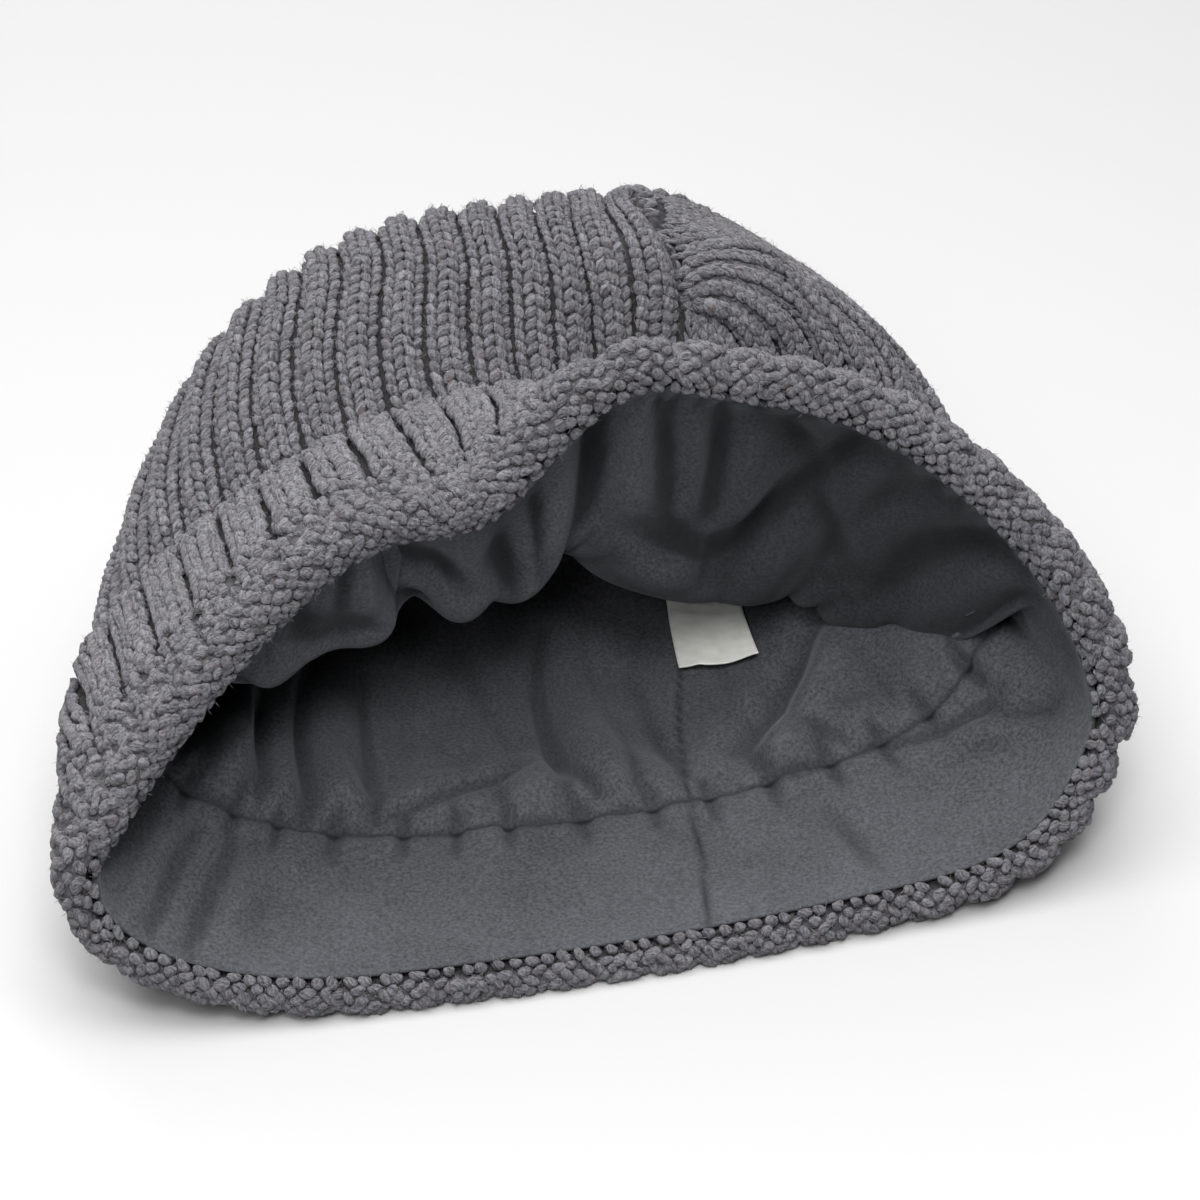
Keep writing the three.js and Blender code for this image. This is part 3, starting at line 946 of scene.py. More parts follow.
@dataclass(frozen=True)
class BrushedFleece:
    """Thin brushed cotton lining in slate grey.

    The eye gets a dull dark cloth with a fine raised nap, faint lighter specks and no weave.
    """

    name: str
    base: str = "#434448"
    light: str = "#5d5e63"
    dark: str = "#27282a"
    nap_mm: float = 0.8
    patch_mm: float = 22.0
    roughness: float = 0.95
    sheen: float = 0.25

    def make(self) -> Material:
        """The material's node tree, on Object coordinates.

        Returns:
            The material.
        """
        material, tree = blank_material(self.name)
        where = add_node(tree, "ShaderNodeTexCoord").outputs["Object"]
        nap = add_node(
            tree, "ShaderNodeTexNoise", Vector=where, Scale=1 / (self.nap_mm * MM), Detail=4.0, Roughness=0.7,
        )
        patch = add_node(tree, "ShaderNodeTexNoise", Vector=where, Scale=1 / (self.patch_mm * MM), Detail=3.0)
        speck = add_node(tree, "ShaderNodeMapRange", Value=nap.outputs["Fac"], From_Min=0.36, From_Max=0.66)
        fine = add_node(
            tree, "ShaderNodeMix", {"data_type": "RGBA"}, in_0=speck.outputs[0],
            in_6=linear(self.dark), in_7=linear(self.light),
        )
        wide = add_node(tree, "ShaderNodeMapRange", Value=patch.outputs["Fac"], From_Min=0.3, From_Max=0.7)
        tone = add_node(
            tree, "ShaderNodeMix", {"data_type": "RGBA"}, in_0=wide.outputs[0],
            in_6=linear(self.base), in_7=linear(self.light),
        )
        colour = add_node(
            tree, "ShaderNodeMix", {"data_type": "RGBA"}, in_0=0.35, in_6=fine.outputs[2],
            in_7=tone.outputs[2],
        )
        # The seam attribute darkens the cloth towards near black: the seams' dark thread, and painted shade
        # in folds, in the round seam's puckers and over the hanging side
        seam = add_node(tree, "ShaderNodeAttribute", {"attribute_name": "seam"})
        seamed_and_shaded = add_node(
            tree, "ShaderNodeMix", {"data_type": "RGBA"}, in_0=seam.outputs["Fac"],
            in_6=colour.outputs[2], in_7=linear("#1b1c1e"),
        )
        bump = add_node(tree, "ShaderNodeBump", Strength=0.5, Distance=0.3 * MM, Height=nap.outputs["Fac"])
        shader = add_node(
            tree, "ShaderNodeBsdfPrincipled", Base_Color=seamed_and_shaded.outputs[2], Normal=bump.outputs[0],
            Roughness=self.roughness, Sheen_Weight=self.sheen, Sheen_Roughness=0.5, Specular_IOR_Level=0.15,
        )
        shader.inputs["Sheen Tint"].default_value = linear("#aeb2b6")
        add_node(tree, "ShaderNodeOutputMaterial", Surface=shader.outputs[0])
        return material


@dataclass(frozen=True)
class WovenSatin:
    """Polyester satin ribbon in off-white.

    The eye gets a pale smooth cloth with a soft sheen and a very fine cross rib.
    """

    name: str
    base: str = "#f2f2ec"
    thread_mm: float = 0.3
    roughness: float = 0.36

    def make(self) -> Material:
        """The material's node tree, on the label's own UV map.

        Returns:
            The material.
        """
        material, tree = blank_material(self.name)
        laid = add_node(tree, "ShaderNodeUVMap", {"uv_map": "ribbon"}).outputs[0]
        threads = add_node(
            tree, "ShaderNodeTexWave", {"wave_type": "BANDS", "bands_direction": "Y"}, Vector=laid,
            Scale=0.3 / self.thread_mm, Distortion=0.4, Detail=1.0, Detail_Scale=2.0,
        )
        cloudy = add_node(tree, "ShaderNodeTexNoise", Vector=laid, Scale=0.25, Detail=2.0)
        tone = add_node(tree, "ShaderNodeMapRange", Value=cloudy.outputs["Fac"], From_Min=0.3, From_Max=0.7)
        colour = add_node(
            tree, "ShaderNodeMix", {"data_type": "RGBA"}, in_0=tone.outputs[0],
            in_6=linear("#e2e2db"), in_7=linear(self.base),
        )
        bump = add_node(
            tree, "ShaderNodeBump", Strength=0.15, Distance=0.1 * MM, Height=threads.outputs["Fac"],
        )
        shader = add_node(
            tree, "ShaderNodeBsdfPrincipled", Base_Color=colour.outputs[2], Normal=bump.outputs[0],
            Roughness=self.roughness, Sheen_Weight=0.2, Specular_IOR_Level=0.5,
        )
        add_node(tree, "ShaderNodeOutputMaterial", Surface=shader.outputs[0])
        return material


# ------------------------------------------------------------------------- knit


@dataclass
class YarnPlan:
    """Places of the lengths of yarn that show, gathered before they are grown."""

    centres: list[Array]
    axes: list[Array]
    faces: list[Array]
    sizes: list[Array]
    tints: list[Array]

    @classmethod
    def empty(cls) -> "YarnPlan":
        """A plan with nothing in it."""
        return cls([], [], [], [], [])

    def add(self, centre: Array, axis: Array, face: Array, size: Array, tint: Array) -> None:
        """Adds lengths of yarn.

        Args:
            centre: Their middles in mm.
            axis: Their directions.
            face: The direction each one faces.
            size: Thickness, width and length of each as shares of the tree's sizes.
            tint: Lightness of each from 0 to 1.
        """
        for kept, new in zip(
            (self.centres, self.axes, self.faces, self.sizes, self.tints), (centre, axis, face, size, tint)
        ):
            kept.append(new)

    def grow(self, name: str, material: Material, tree: Tree,
             keep: Callable[[Array], Array] | None = None, **values: float) -> Object:
        """Grows the yarn as one mesh.

        Args:
            name: Name of the piece.
            material: Its material.
            tree: Tree that makes yarn legs.
            keep: Chooses the lengths to grow by their middles, all if left out.
            **values: Values for the tree's inputs.

        Returns:
            The piece.
        """
        centre, axis, face, size, tint = (
            np.concatenate(part) for part in (self.centres, self.axes, self.faces, self.sizes, self.tints)
        )
        chosen = np.ones(len(centre), bool) if keep is None else keep(centre)
        points = new_mesh_object(name + "_plan", centre[chosen], [])
        for key, vectors in (("leg_axis", axis), ("leg_face", face), ("leg_size", size)):
            set_attribute(points, key, "FLOAT_VECTOR", vectors[chosen])
        set_attribute(points, "tint", "FLOAT", tint[chosen])
        return grown(name, points, tree, material, **values)


def painted_groove_shade(sunk: Array) -> Array:
    """Painted shade in the grooves: lightness of the ground from how far it is sunk, where 1 is the bottom of
    a groove.
    """
    return 0.3 - 1.35 * smooth_step(sunk * 1.3 - 0.25)


def directions(place: Place, s: Array, turn: Array, lift: Any) -> tuple[Array, Array, Array, Array]:
    """Point and directions on a knitted face.

    Args:
        place: The face's function of distance, turn and lift.
        s: Distances along the face in mm.
        turn: Places round the cap in turns.
        lift: Heights over the face in mm.

    Returns:
        Points, directions along and round the face, and directions out of it.
    """
    near, beside = 0.6, 0.0012
    along = unit(place(s + near, turn, lift) - place(s - near, turn, lift))
    around = unit(place(s, turn + beside, lift) - place(s, turn - beside, lift))
    return place(s, turn, lift), along, around, unit(np.cross(along, around))


def from_pole(depth: Array, turn: Array) -> tuple[Array, Array]:
    """Place on the cap as seen along its length, in mm from the crown point."""
    left = np.maximum(POLE_DEPTH - depth, 0.0)
    return left * np.cos(2 * np.pi * turn), left * np.sin(2 * np.pi * turn)


def to_pole(east: Array, north: Array) -> tuple[Array, Array]:
    """Depth and turn of a place given in mm from the crown point."""
    return POLE_DEPTH - np.hypot(east, north), np.arctan2(north, east) / (2 * np.pi) % 1.0


@dataclass(frozen=True)
class Sweep:
    """Slide of one family of ribs across the crown, so that they don't run to its point.

    It is length mm towards a turn, starts at reach mm from the crown point, and is full at one
    turn and nothing at another.
    """

    length: float
    towards: float
    reach: float
    full: float
    ends: float

    def shift(self, depth: Array, turn: Array) -> Array:
        """How far a place on a rib is slid.

        Args:
            depth: Distances along the rib in mm.
            turn: The rib's place at the rim in turns.

        Returns:
            Distances in mm.
        """
        left = np.maximum(POLE_DEPTH - depth, 0.0)
        share = 1 - turns_from(turn, self.full) / (self.ends - self.full)
        return self.length * smooth_step(1 - left / self.reach) * smooth_step(share)

    def onwards(self, step: Array) -> tuple[Array, Array]:
        """The two parts of a slide of so many mm."""
        return step * math.cos(2 * np.pi * self.towards), step * math.sin(2 * np.pi * self.towards)

    def forward(self, depth: Array, turn: Array) -> tuple[Array, Array]:
        """Where a place on a rib lies once it is slid.

        Args:
            depth: Distances along the rib in mm.
            turn: The rib's place at the rim in turns.

        Returns:
            Distances from the rim in mm and places round the cap in turns.
        """
        east, north = from_pole(depth, turn)
        slid = self.onwards(self.shift(depth, turn))
        return to_pole(east + slid[0], north + slid[1])

    def back(self, depth: Array, turn: Array) -> tuple[Array, Array]:
        """Which place on a rib was slid to a place on the knit, found step by step.

        Args:
            depth: Distances from the rim in mm.
            turn: Places round the cap in turns.

        Returns:
            Distances along the rib in mm, and the rib's place at the rim in turns.
        """
        target = from_pole(depth, turn)
        east, north = target
        for _ in range(50):
            slid = self.onwards(self.shift(*to_pole(east, north)))
            east = 0.5 * east + 0.5 * (target[0] - slid[0])
            north = 0.5 * north + 0.5 * (target[1] - slid[1])
        return to_pole(east, north)


@dataclass
class KnitCrown:
    """Ribbed body of the cap: a knitted ground with every stitch's two legs over it.

    Sizes are in mm. inner, ground and tucked_outer are heights over the reference surface.
    """

    surface: CapSurface
    inner: float = 2.2
    ground: float = 5.6
    groove: float = 2.2
    groove_width: float = 1.7
    rounding: float = 0.7
    hem_depth: float = 8.8
    tucked_outer: float = 4.0
    course: float = 2.75
    leg_drop: float = 1.5
    columns_per_rib: int = 7

    # The ribs of the right side bend to a line over the top; those of the left run straight over
    RIGHT = Sweep(length=85.0, towards=0.63, reach=112.0, full=0.22, ends=0.04)
    LEFT = Sweep(length=38.0, towards=0.0, reach=105.0, full=0.77, ends=0.97)

    def aside(self, depth: Array, turn: Array) -> Array:
        """Turns from the line at which the right side's ribs end, below 0 on its right."""
        return turns_from(turn, np.interp(depth, [108, 190], [0.503, 0.540]))

    def place(self, depth: Array, turn: Array, lift: Any) -> Array:
        """Point on a rib of the left side."""
        return self.surface.at(*self.LEFT.forward(depth, turn), lift)

    def bent_place(self, depth: Array, turn: Array, lift: Any) -> Array:
        """Point on a rib of the right side."""
        return self.surface.at(*self.RIGHT.forward(depth, turn), lift)

    def groove_strength(self, depth: Array, number: Array) -> Array:
        """How much of a groove is left where the ribs merge towards the crown point.

        Args:
            depth: Distances along the ribs in mm.
            number: Number of the nearest groove.

        Returns:
            Strength from 0 to 1.
        """
        odd, half = number % 2 == 1, number % 4 == 2
        first = np.clip((FIRST_MERGE_DEPTH + 2 - depth) / 6, 0, 1)
        second = np.clip((SECOND_MERGE_DEPTH + 2 - depth) / 5, 0, 1)
        return np.where(odd, first, np.where(half, second, 1.0))

    def relief(self, depth: Array, turn: Array) -> Array:
        """Height of the ribbed ground over the reference surface.

        Args:
            depth: Distances from the rim in mm.
            turn: Places round the cap in turns.

        Returns:
            Heights in mm.
        """
        bent = self.aside(depth, turn) < 0
        families = zip(self.RIGHT.back(depth, turn), self.LEFT.back(depth, turn))
        run, place = (np.where(bent, right, left) for right, left in families)
        rib = place * RIB_COUNT
        number = np.round(rib)
        pitch = np.clip((POLE_DEPTH - run) * 2 * math.pi / RIB_COUNT, 1.0, 9.8)
        away = np.abs(rib - number) * pitch
        strength = self.groove_strength(run, number.astype(int) % RIB_COUNT)
        valley = self.groove * bell(away, self.groove_width)
        slope = self.rounding * bell(away, 2.1 * self.groove_width)
        rise = ramp(depth, CUFF_DEPTH, 12.0)
        return self.tucked_outer + (self.ground - self.tucked_outer - (valley + slope) * strength) * rise

    def build_ground(self) -> Object:
        """The closed wall under the stitches.

        Returns:
            The piece.
        """
        count = RIB_COUNT * self.columns_per_rib
        turn = np.arange(count) / count
        outer = np.concatenate([
            [self.hem_depth, 24.0, 40.0, 46.0], np.arange(48.0, 100.0, 2.6), np.arange(100.0, 210.4, 1.7),
        ])
        back = np.concatenate([[self.hem_depth, 24.0, 40.0], np.arange(50.0, 208.0, 6.0), [209.0]])
        rings, tints = [], []
        for depth in outer[::-1]:
            row = np.full(count, depth)
            relief = self.relief(row, turn)
            rings.append(self.surface.at(row, turn, relief))
            # Painted shade: the ground's colour darkens in the grooves between the ribs
            tint = painted_groove_shade((self.ground - relief) / self.groove if depth > 61 else np.zeros(count))
            # Less painted groove shade where ribs end in a line or merge, because the yarn leaves more of it
            # bare
            pinched = np.exp(-((self.aside(row, turn) * 90) ** 2)) * smooth_step((row - 100) / 15)
            tints.append(np.maximum(tint, -0.1 - 1.3 * (1 - pinched) if depth < 160 else -0.35))
        for depth in back:
            rings.append(self.surface.at(np.full(count, depth), turn, self.inner))
            tints.append(np.full(count, 0.2))
        pole = np.array([POLE_DEPTH])
        ends = tuple(self.surface.at(pole, np.zeros(1), o)[0] for o in (self.ground - 1.6, self.inner))
        piece = shell_from_rings("crown_knit_ground", rings, ends)
        set_attribute(piece, "tint", "FLOAT", np.concatenate([*tints, [0.2, 0.2]]))
        return piece

    def courses(self, place: Place, rib: float, first: float, last: float, start: float) -> Array:
        """Depths of the stitches of one rib, evenly spaced along it.

        Args:
            place: The face's function of distance, turn and lift.
            rib: Middle of the rib in turns.
            first: Depth at which the rib begins.
            last: Depth at which it ends.
            start: Distance of the first stitch along the rib in mm.

        Returns:
            Depths of the stitches.
        """
        depth = np.arange(first, last + 0.5, 1.0)
        line = place(depth, np.full(len(depth), rib), 6.0)
        run = np.concatenate([[0.0], np.cumsum(np.linalg.norm(np.diff(line, axis=0), axis=1))])
        return np.interp(np.arange(start, run[-1], self.course), run, depth)

    def plan(self) -> YarnPlan:
        """Places of the two legs of every stitch.

        Returns:
            The plan.
        """
        rng = np.random.default_rng(11)
        plan = YarnPlan.empty()
        # Ribs merged into one, first depth, last depth
        stages = (
            (1, CUFF_DEPTH + 1.5, FIRST_MERGE_DEPTH), (2, FIRST_MERGE_DEPTH + 1, SECOND_MERGE_DEPTH),
            (4, SECOND_MERGE_DEPTH + 1, LAST_STITCH_DEPTH),
        )
        for merged, first, last in stages:
            for rib in range(RIB_COUNT // merged):
                middle = (rib + 0.5) * merged / RIB_COUNT
                start = rng.uniform(0.3, 2.6)
                for bent in (False, True):
                    place = self.bent_place if bent else self.place
                    rows = self.courses(place, middle, first, last, start)
                    if len(rows):
                        self._legs(plan, rng, np.repeat(rows, 4), middle, merged, bent)
        return plan

    def _legs(self, plan: YarnPlan, rng: np.random.Generator, depth: Array, middle: float,
              merged: int, bent: bool) -> None:
        """Adds the four legs of each stitch row of one rib to the plan.

        Args:
            plan: Plan to add them to.
            rng: Source of the unevenness.
            depth: Depth of each leg.
            middle: Middle of the rib in turns.
            merged: Number of ribs that are merged in it.
            bent: Whether it is one of the right side's ribs.
        """
        place = self.bent_place if bent else self.place
        count = len(depth)
        # Middle of each leg's stitch, and the leg's side of it, as shares of the rib's width
        wale = np.resize([-0.221, -0.221, 0.221, 0.221], count)
        side = np.resize([-1.0, 1.0, -1.0, 1.0], count)
        x = wale + side * 0.112
        outermost = 0.333
        step = 0.25 / RIB_COUNT
        turn = np.full(count, middle)
        width = np.linalg.norm(place(depth, turn + step, 5.0) - place(depth, turn - step, 5.0), axis=1)
        width = width * 2 * merged
        row = depth + rng.normal(0, 0.12, count)
        narrow = (width < 7.2) & bent
        x = np.where(narrow, side * 0.2, x)
        turn = middle + (x + rng.normal(0, 0.012, count)) * merged / RIB_COUNT
        round_drop = self.leg_drop * (np.abs(x) / outermost) ** 3 * np.clip(width / 9, 0.4, 1.1)
        drop = np.where(narrow, 0.5, round_drop)
        rise = ramp(depth, CUFF_DEPTH + 1.0, 13.0)
        spot = (self.RIGHT if bent else self.LEFT).forward(row, turn)
        gap = self.aside(*spot)
        tuck = 1.8 * bell(gap * 300, 2.6) * ramp(spot[0], 100, 15)
        lift = self.tucked_outer + (self.ground + 0.7 - drop - tuck - self.tucked_outer) * rise
        point, along, around, out = directions(place, row, turn, lift)
        slant = 0.44 + rng.normal(0, 0.06, count)
        tilt = np.sign(x) * (np.abs(x) / outermost) ** 2 * 0.6
        face = unit(out + around * tilt[:, None])
        axis = unit(along + around * (side * slant)[:, None] - out * 0.10)
        girth = np.clip(width * np.where(narrow, 0.4, 0.248) / 2.4, 0.5, 1.9) * rng.normal(1.0, 0.06, count)
        size = np.stack([np.clip(girth, 0.7, 1.2), girth, rng.normal(0.93, 0.06, count)], -1)
        own_side = gap < -0.001 if bent else gap >= -0.001
        kept = own_side & ~(narrow & (wale < 0)) & (point[:, 2] > PRESSED_FLAT)
        tint = rng.uniform(0, 1, count)
        plan.add(point[kept], axis[kept], face[kept], size[kept], tint[kept])


@dataclass
class KnitCuff:
    """Turned-up cuff with its rolled rim.

    Sizes are in mm. inner is a height over the reference surface.
    """

    surface: CapSurface
    inner: float = 5.5
    groove: float = 2.3
    groove_width: float = 1.6
    yarn_sink: float = 1.0
    course: float = 2.65
    ribs_round: int = 48
    rib_pitch: float = 11.7
    columns_per_rib: int = 8
    beads: int = 150

    # Depth, distance outwards, share of the ribs' relief
    PROFILE = (
        (48.0, 6.4, 0.0), (50.0, 7.2, 0.2), (50.8, 9.0, 0.5), (49.6, 10.9, 0.8), (46.0, 11.7, 1.0),
        (38.0, 11.4, 1.0), (25.0, 10.9, 0.85), (14.0, 11.0, 0.55), (6.0, 11.3, 0.5), (1.0, 11.0, 0.5),
        (-2.6, 9.8, 0.5), (-4.8, 7.6, 0.45), (-5.6, 5.2, 0.35), (-5.2, 3.2, 0.25), (-3.8, 1.8, 0.1),
        (-1.6, 1.3, 0.0),
    )

    def __post_init__(self) -> None:
        """Works out the running length of the profile."""
        rows = np.array(self.PROFILE)
        steps = np.hypot(np.diff(rows[:, 0]), np.diff(rows[:, 1]))
        self.run = np.concatenate([[0.0], np.cumsum(steps)])
        self.rows = rows

    def loft(self, turn: Array) -> Array:
        """Thickness of the cuff round the cap: pressed flat below, full above."""
        return 0.84 - 0.2 * np.cos(2 * np.pi * turn)

    def spread(self, turn: Array) -> Array:
        """Reach of the rim past its edge round the cap: widest where the cap's weight is on it."""
        return 0.95 + 0.2 * np.cos(2 * np.pi * turn) - 0.28 * bell(turns_from(turn, 0.95), 0.08)

    def knuckles(self, turn: Array) -> Array:
        """How much of a lump each rib makes in the rim, most on the right."""
        return bell(turns_from(turn, 0.33), 0.13)

    def place(self, s: Array, turn: Array, lift: Any) -> Array:
        """Point on the cuff's face.

        Args:
            s: Distance along the profile from the cuff's top edge, in mm.
            turn: Place round the cap in turns.
            lift: Height over the face in mm.

        Returns:
            Points in mm.
        """
        depth, offset, _, normal = self._profile(s)
        groove = self.sunk(s, turn)
        loft = self.loft(turn)
        height = offset - groove * np.maximum(normal[1], 0.0) + lift * normal[1]
        outside = np.where(height > self.inner, self.inner + (height - self.inner) * loft, height)
        reach = depth + (lift - groove) * normal[0]
        reach = np.where(reach < 0, reach * self.spread(turn), reach)
        return self.surface.at(reach, turn, outside)

    def sunk(self, s: Array, turn: Array) -> Array:
        """How far the grooves between the ribs sink the face.

        Args:
            s: Distances along the profile in mm.
            turn: Places round the cap in turns.

        Returns:
            Depths in mm.
        """
        _, offset, relief, _ = self._profile(s)
        rib = turn * self.ribs_round
        bulge = (2 * np.abs(rib - np.round(rib + 0.5) + 0.5)) ** 2.4
        lumps = (0.9 + 2.6 * self.knuckles(turn)) * ramp(offset, 3, 4) * ramp(s, 20, 22)
        return np.maximum(self.ribs(turn) * relief, bulge * lumps)

    def _profile(self, s: Array) -> tuple[Array, Array, Array, tuple[Array, Array]]:
        """The profile at distances along it.

        Args:
            s: Distances in mm.

        Returns:
            Depth, offset, relief, and the normal's parts along the depth and outwards.
        """
        s = np.asarray(s, dtype=float)
        depth, offset, relief = (np.interp(s, self.run, column) for column in self.rows.T)
        step = 1.2
        d, o = (
            np.interp(s + step, self.run, column) - np.interp(s - step, self.run, column)
            for column in self.rows.T[:2]
        )
        size = np.maximum(np.hypot(d, o), 1e-9)
        return depth, offset, relief, (o / size, -d / size)

    def ribs(self, turn: Array) -> Array:
        """Depth of the rib grooves round the cap.

        Args:
            turn: Places round the cap in turns.

        Returns:
            Depths in mm.
        """
        rib = turn * self.ribs_round
        away = np.abs(rib - np.round(rib)) * self.rib_pitch
        return self.groove * bell(away, self.groove_width) + 0.8 * bell(away, 3.5)

    def build_ground(self) -> Object:
        """The closed wall under the stitches, with painted shade in its grooves, raised and paler towards the
        rim, where it shows.

        Returns:
            The piece.
        """
        count = self.ribs_round * self.columns_per_rib
        turn = np.arange(count) / count
        stops = np.concatenate([np.arange(0.0, self.run[-1], 1.5), [self.run[-1]]])
        fleecy = smooth_step((stops - 34.0) / 10.0)
        rings = [self.place(np.full(count, s), turn, -2.0 + 0.7 * f) for s, f in zip(stops, fleecy)]
        # Painted shade in the grooves, faded out towards the rim, where the ground turns paler
        sunk = [0.8 * self.sunk(s, turn) / self.groove for s in stops]
        tints = [painted_groove_shade(share) * (1 - f) + 0.7 * f for share, f in zip(sunk, fleecy)]
        for depth, offset in ((2.0, 2.2), (7.9, 2.2), (8.0, 5.0), (22.0, 5.0), (36.0, 5.0), (46.5, 5.0)):
            rings.append(self.surface.at(np.full(count, depth), turn, offset))
            tints.append(np.full(count, 0.2))
        piece = shell_from_rings("cuff_knit_ground", rings, None)
        set_attribute(piece, "tint", "FLOAT", np.concatenate(tints))
        return piece

    def plan(self, first: float, last: float) -> YarnPlan:
        """Places of the stitch legs of the cuff's face, which lose their order towards the rim.

        Args:
            first: Distance along the profile of the first row in mm.
            last: Distance at which the rows end.

        Returns:
            The plan.
        """
        rng = np.random.default_rng(23 + int(first))
        plan = YarnPlan.empty()
        rib = np.repeat(np.arange(self.ribs_round), 4)
        count = len(rib)
        wale = np.tile([-0.219, -0.219, 0.219, 0.219], self.ribs_round)
        side = np.tile([-1.0, 1.0, -1.0, 1.0], self.ribs_round)
        knuckles = self.knuckles((rib + 0.5) / self.ribs_round)
        for row, s in enumerate(np.arange(first, last, self.course)):
            # Towards the rim the legs get shorter and stray, sooner where the ribs make knuckles
            short = np.clip((s - 32.0 + 14.0 * knuckles) / 10.0, 0, 1)
            loose = np.clip((s - 32.0 + 10.0 * knuckles) / 14.0, 0, 1)
            x = wale + side * (0.106 + 0.01 * loose) + 0.11 * (row % 2) * short
            turn = (rib + 0.5 + x + rng.normal(0, 0.02 + 0.05 * loose, count)) / self.ribs_round
            run = s + rng.normal(0, 0.1 + 0.45 * loose, count)
            lift = -self.yarn_sink + 0.3 - 0.6 * loose
            point, along, around, out = directions(self.place, run, turn, lift)
            slant = side * (0.46 + 0.9 * short) * (1 - 2 * (row % 2) * short)
            slant = slant + rng.normal(0, 0.04 + 0.45 * loose, count) + 0.3 * knuckles * ramp(s, 20.0, 20.0)
            axis = unit(along + around * slant[:, None] - out * 0.08)
            girth = rng.normal(1.14 - 0.02 * short, 0.04 + 0.08 * short, count)
            length = rng.normal(0.92 - 0.26 * short, 0.05 + 0.05 * short)
            size = np.stack([girth * (0.9 + 0.1 * short), girth, length], -1)
            plan.add(point, axis, out, size, rng.uniform(0.1, 1.0, count))
        return plan

    def bead_plan(self) -> YarnPlan:
        """Places of the purl bumps next to the lining, in staggered rows.

        Returns:
            The plan.
        """
        rng = np.random.default_rng(31)
        plan = YarnPlan.empty()
        count = self.beads
        stops = np.linspace(56.6, self.run[-1] - 0.2, 8)
        for row, s in enumerate(stops):
            last = row == len(stops) - 1
            turn = (np.arange(count) + 0.5 * (row % 2) + rng.normal(0, 0.09, count)) / count
            run = s + rng.normal(0, 0.1 if last else 0.35, count)
            sink = -0.45 if last else self.yarn_sink - 0.4 * (row == len(stops) - 2)
            point, along, around, out = directions(self.place, run, turn, -sink)
            lean = rng.normal(0.5 * (1 - 2 * (row % 2)), 0.45, count)
            axis = unit(around + along * lean[:, None])
            shares = ((1.05, 0.1), (1.05, 0.1), (0.66, 0.08))
            size = np.stack([rng.normal(mean, uneven, count) for mean, uneven in shares], -1)
            # Darker tints than the other legs: painted shade on the purl bumps next to the lining
            plan.add(point, axis, out, size, rng.uniform(0.0, 0.6, count))
        return plan


# ----------------------------------------------------------------------- lining


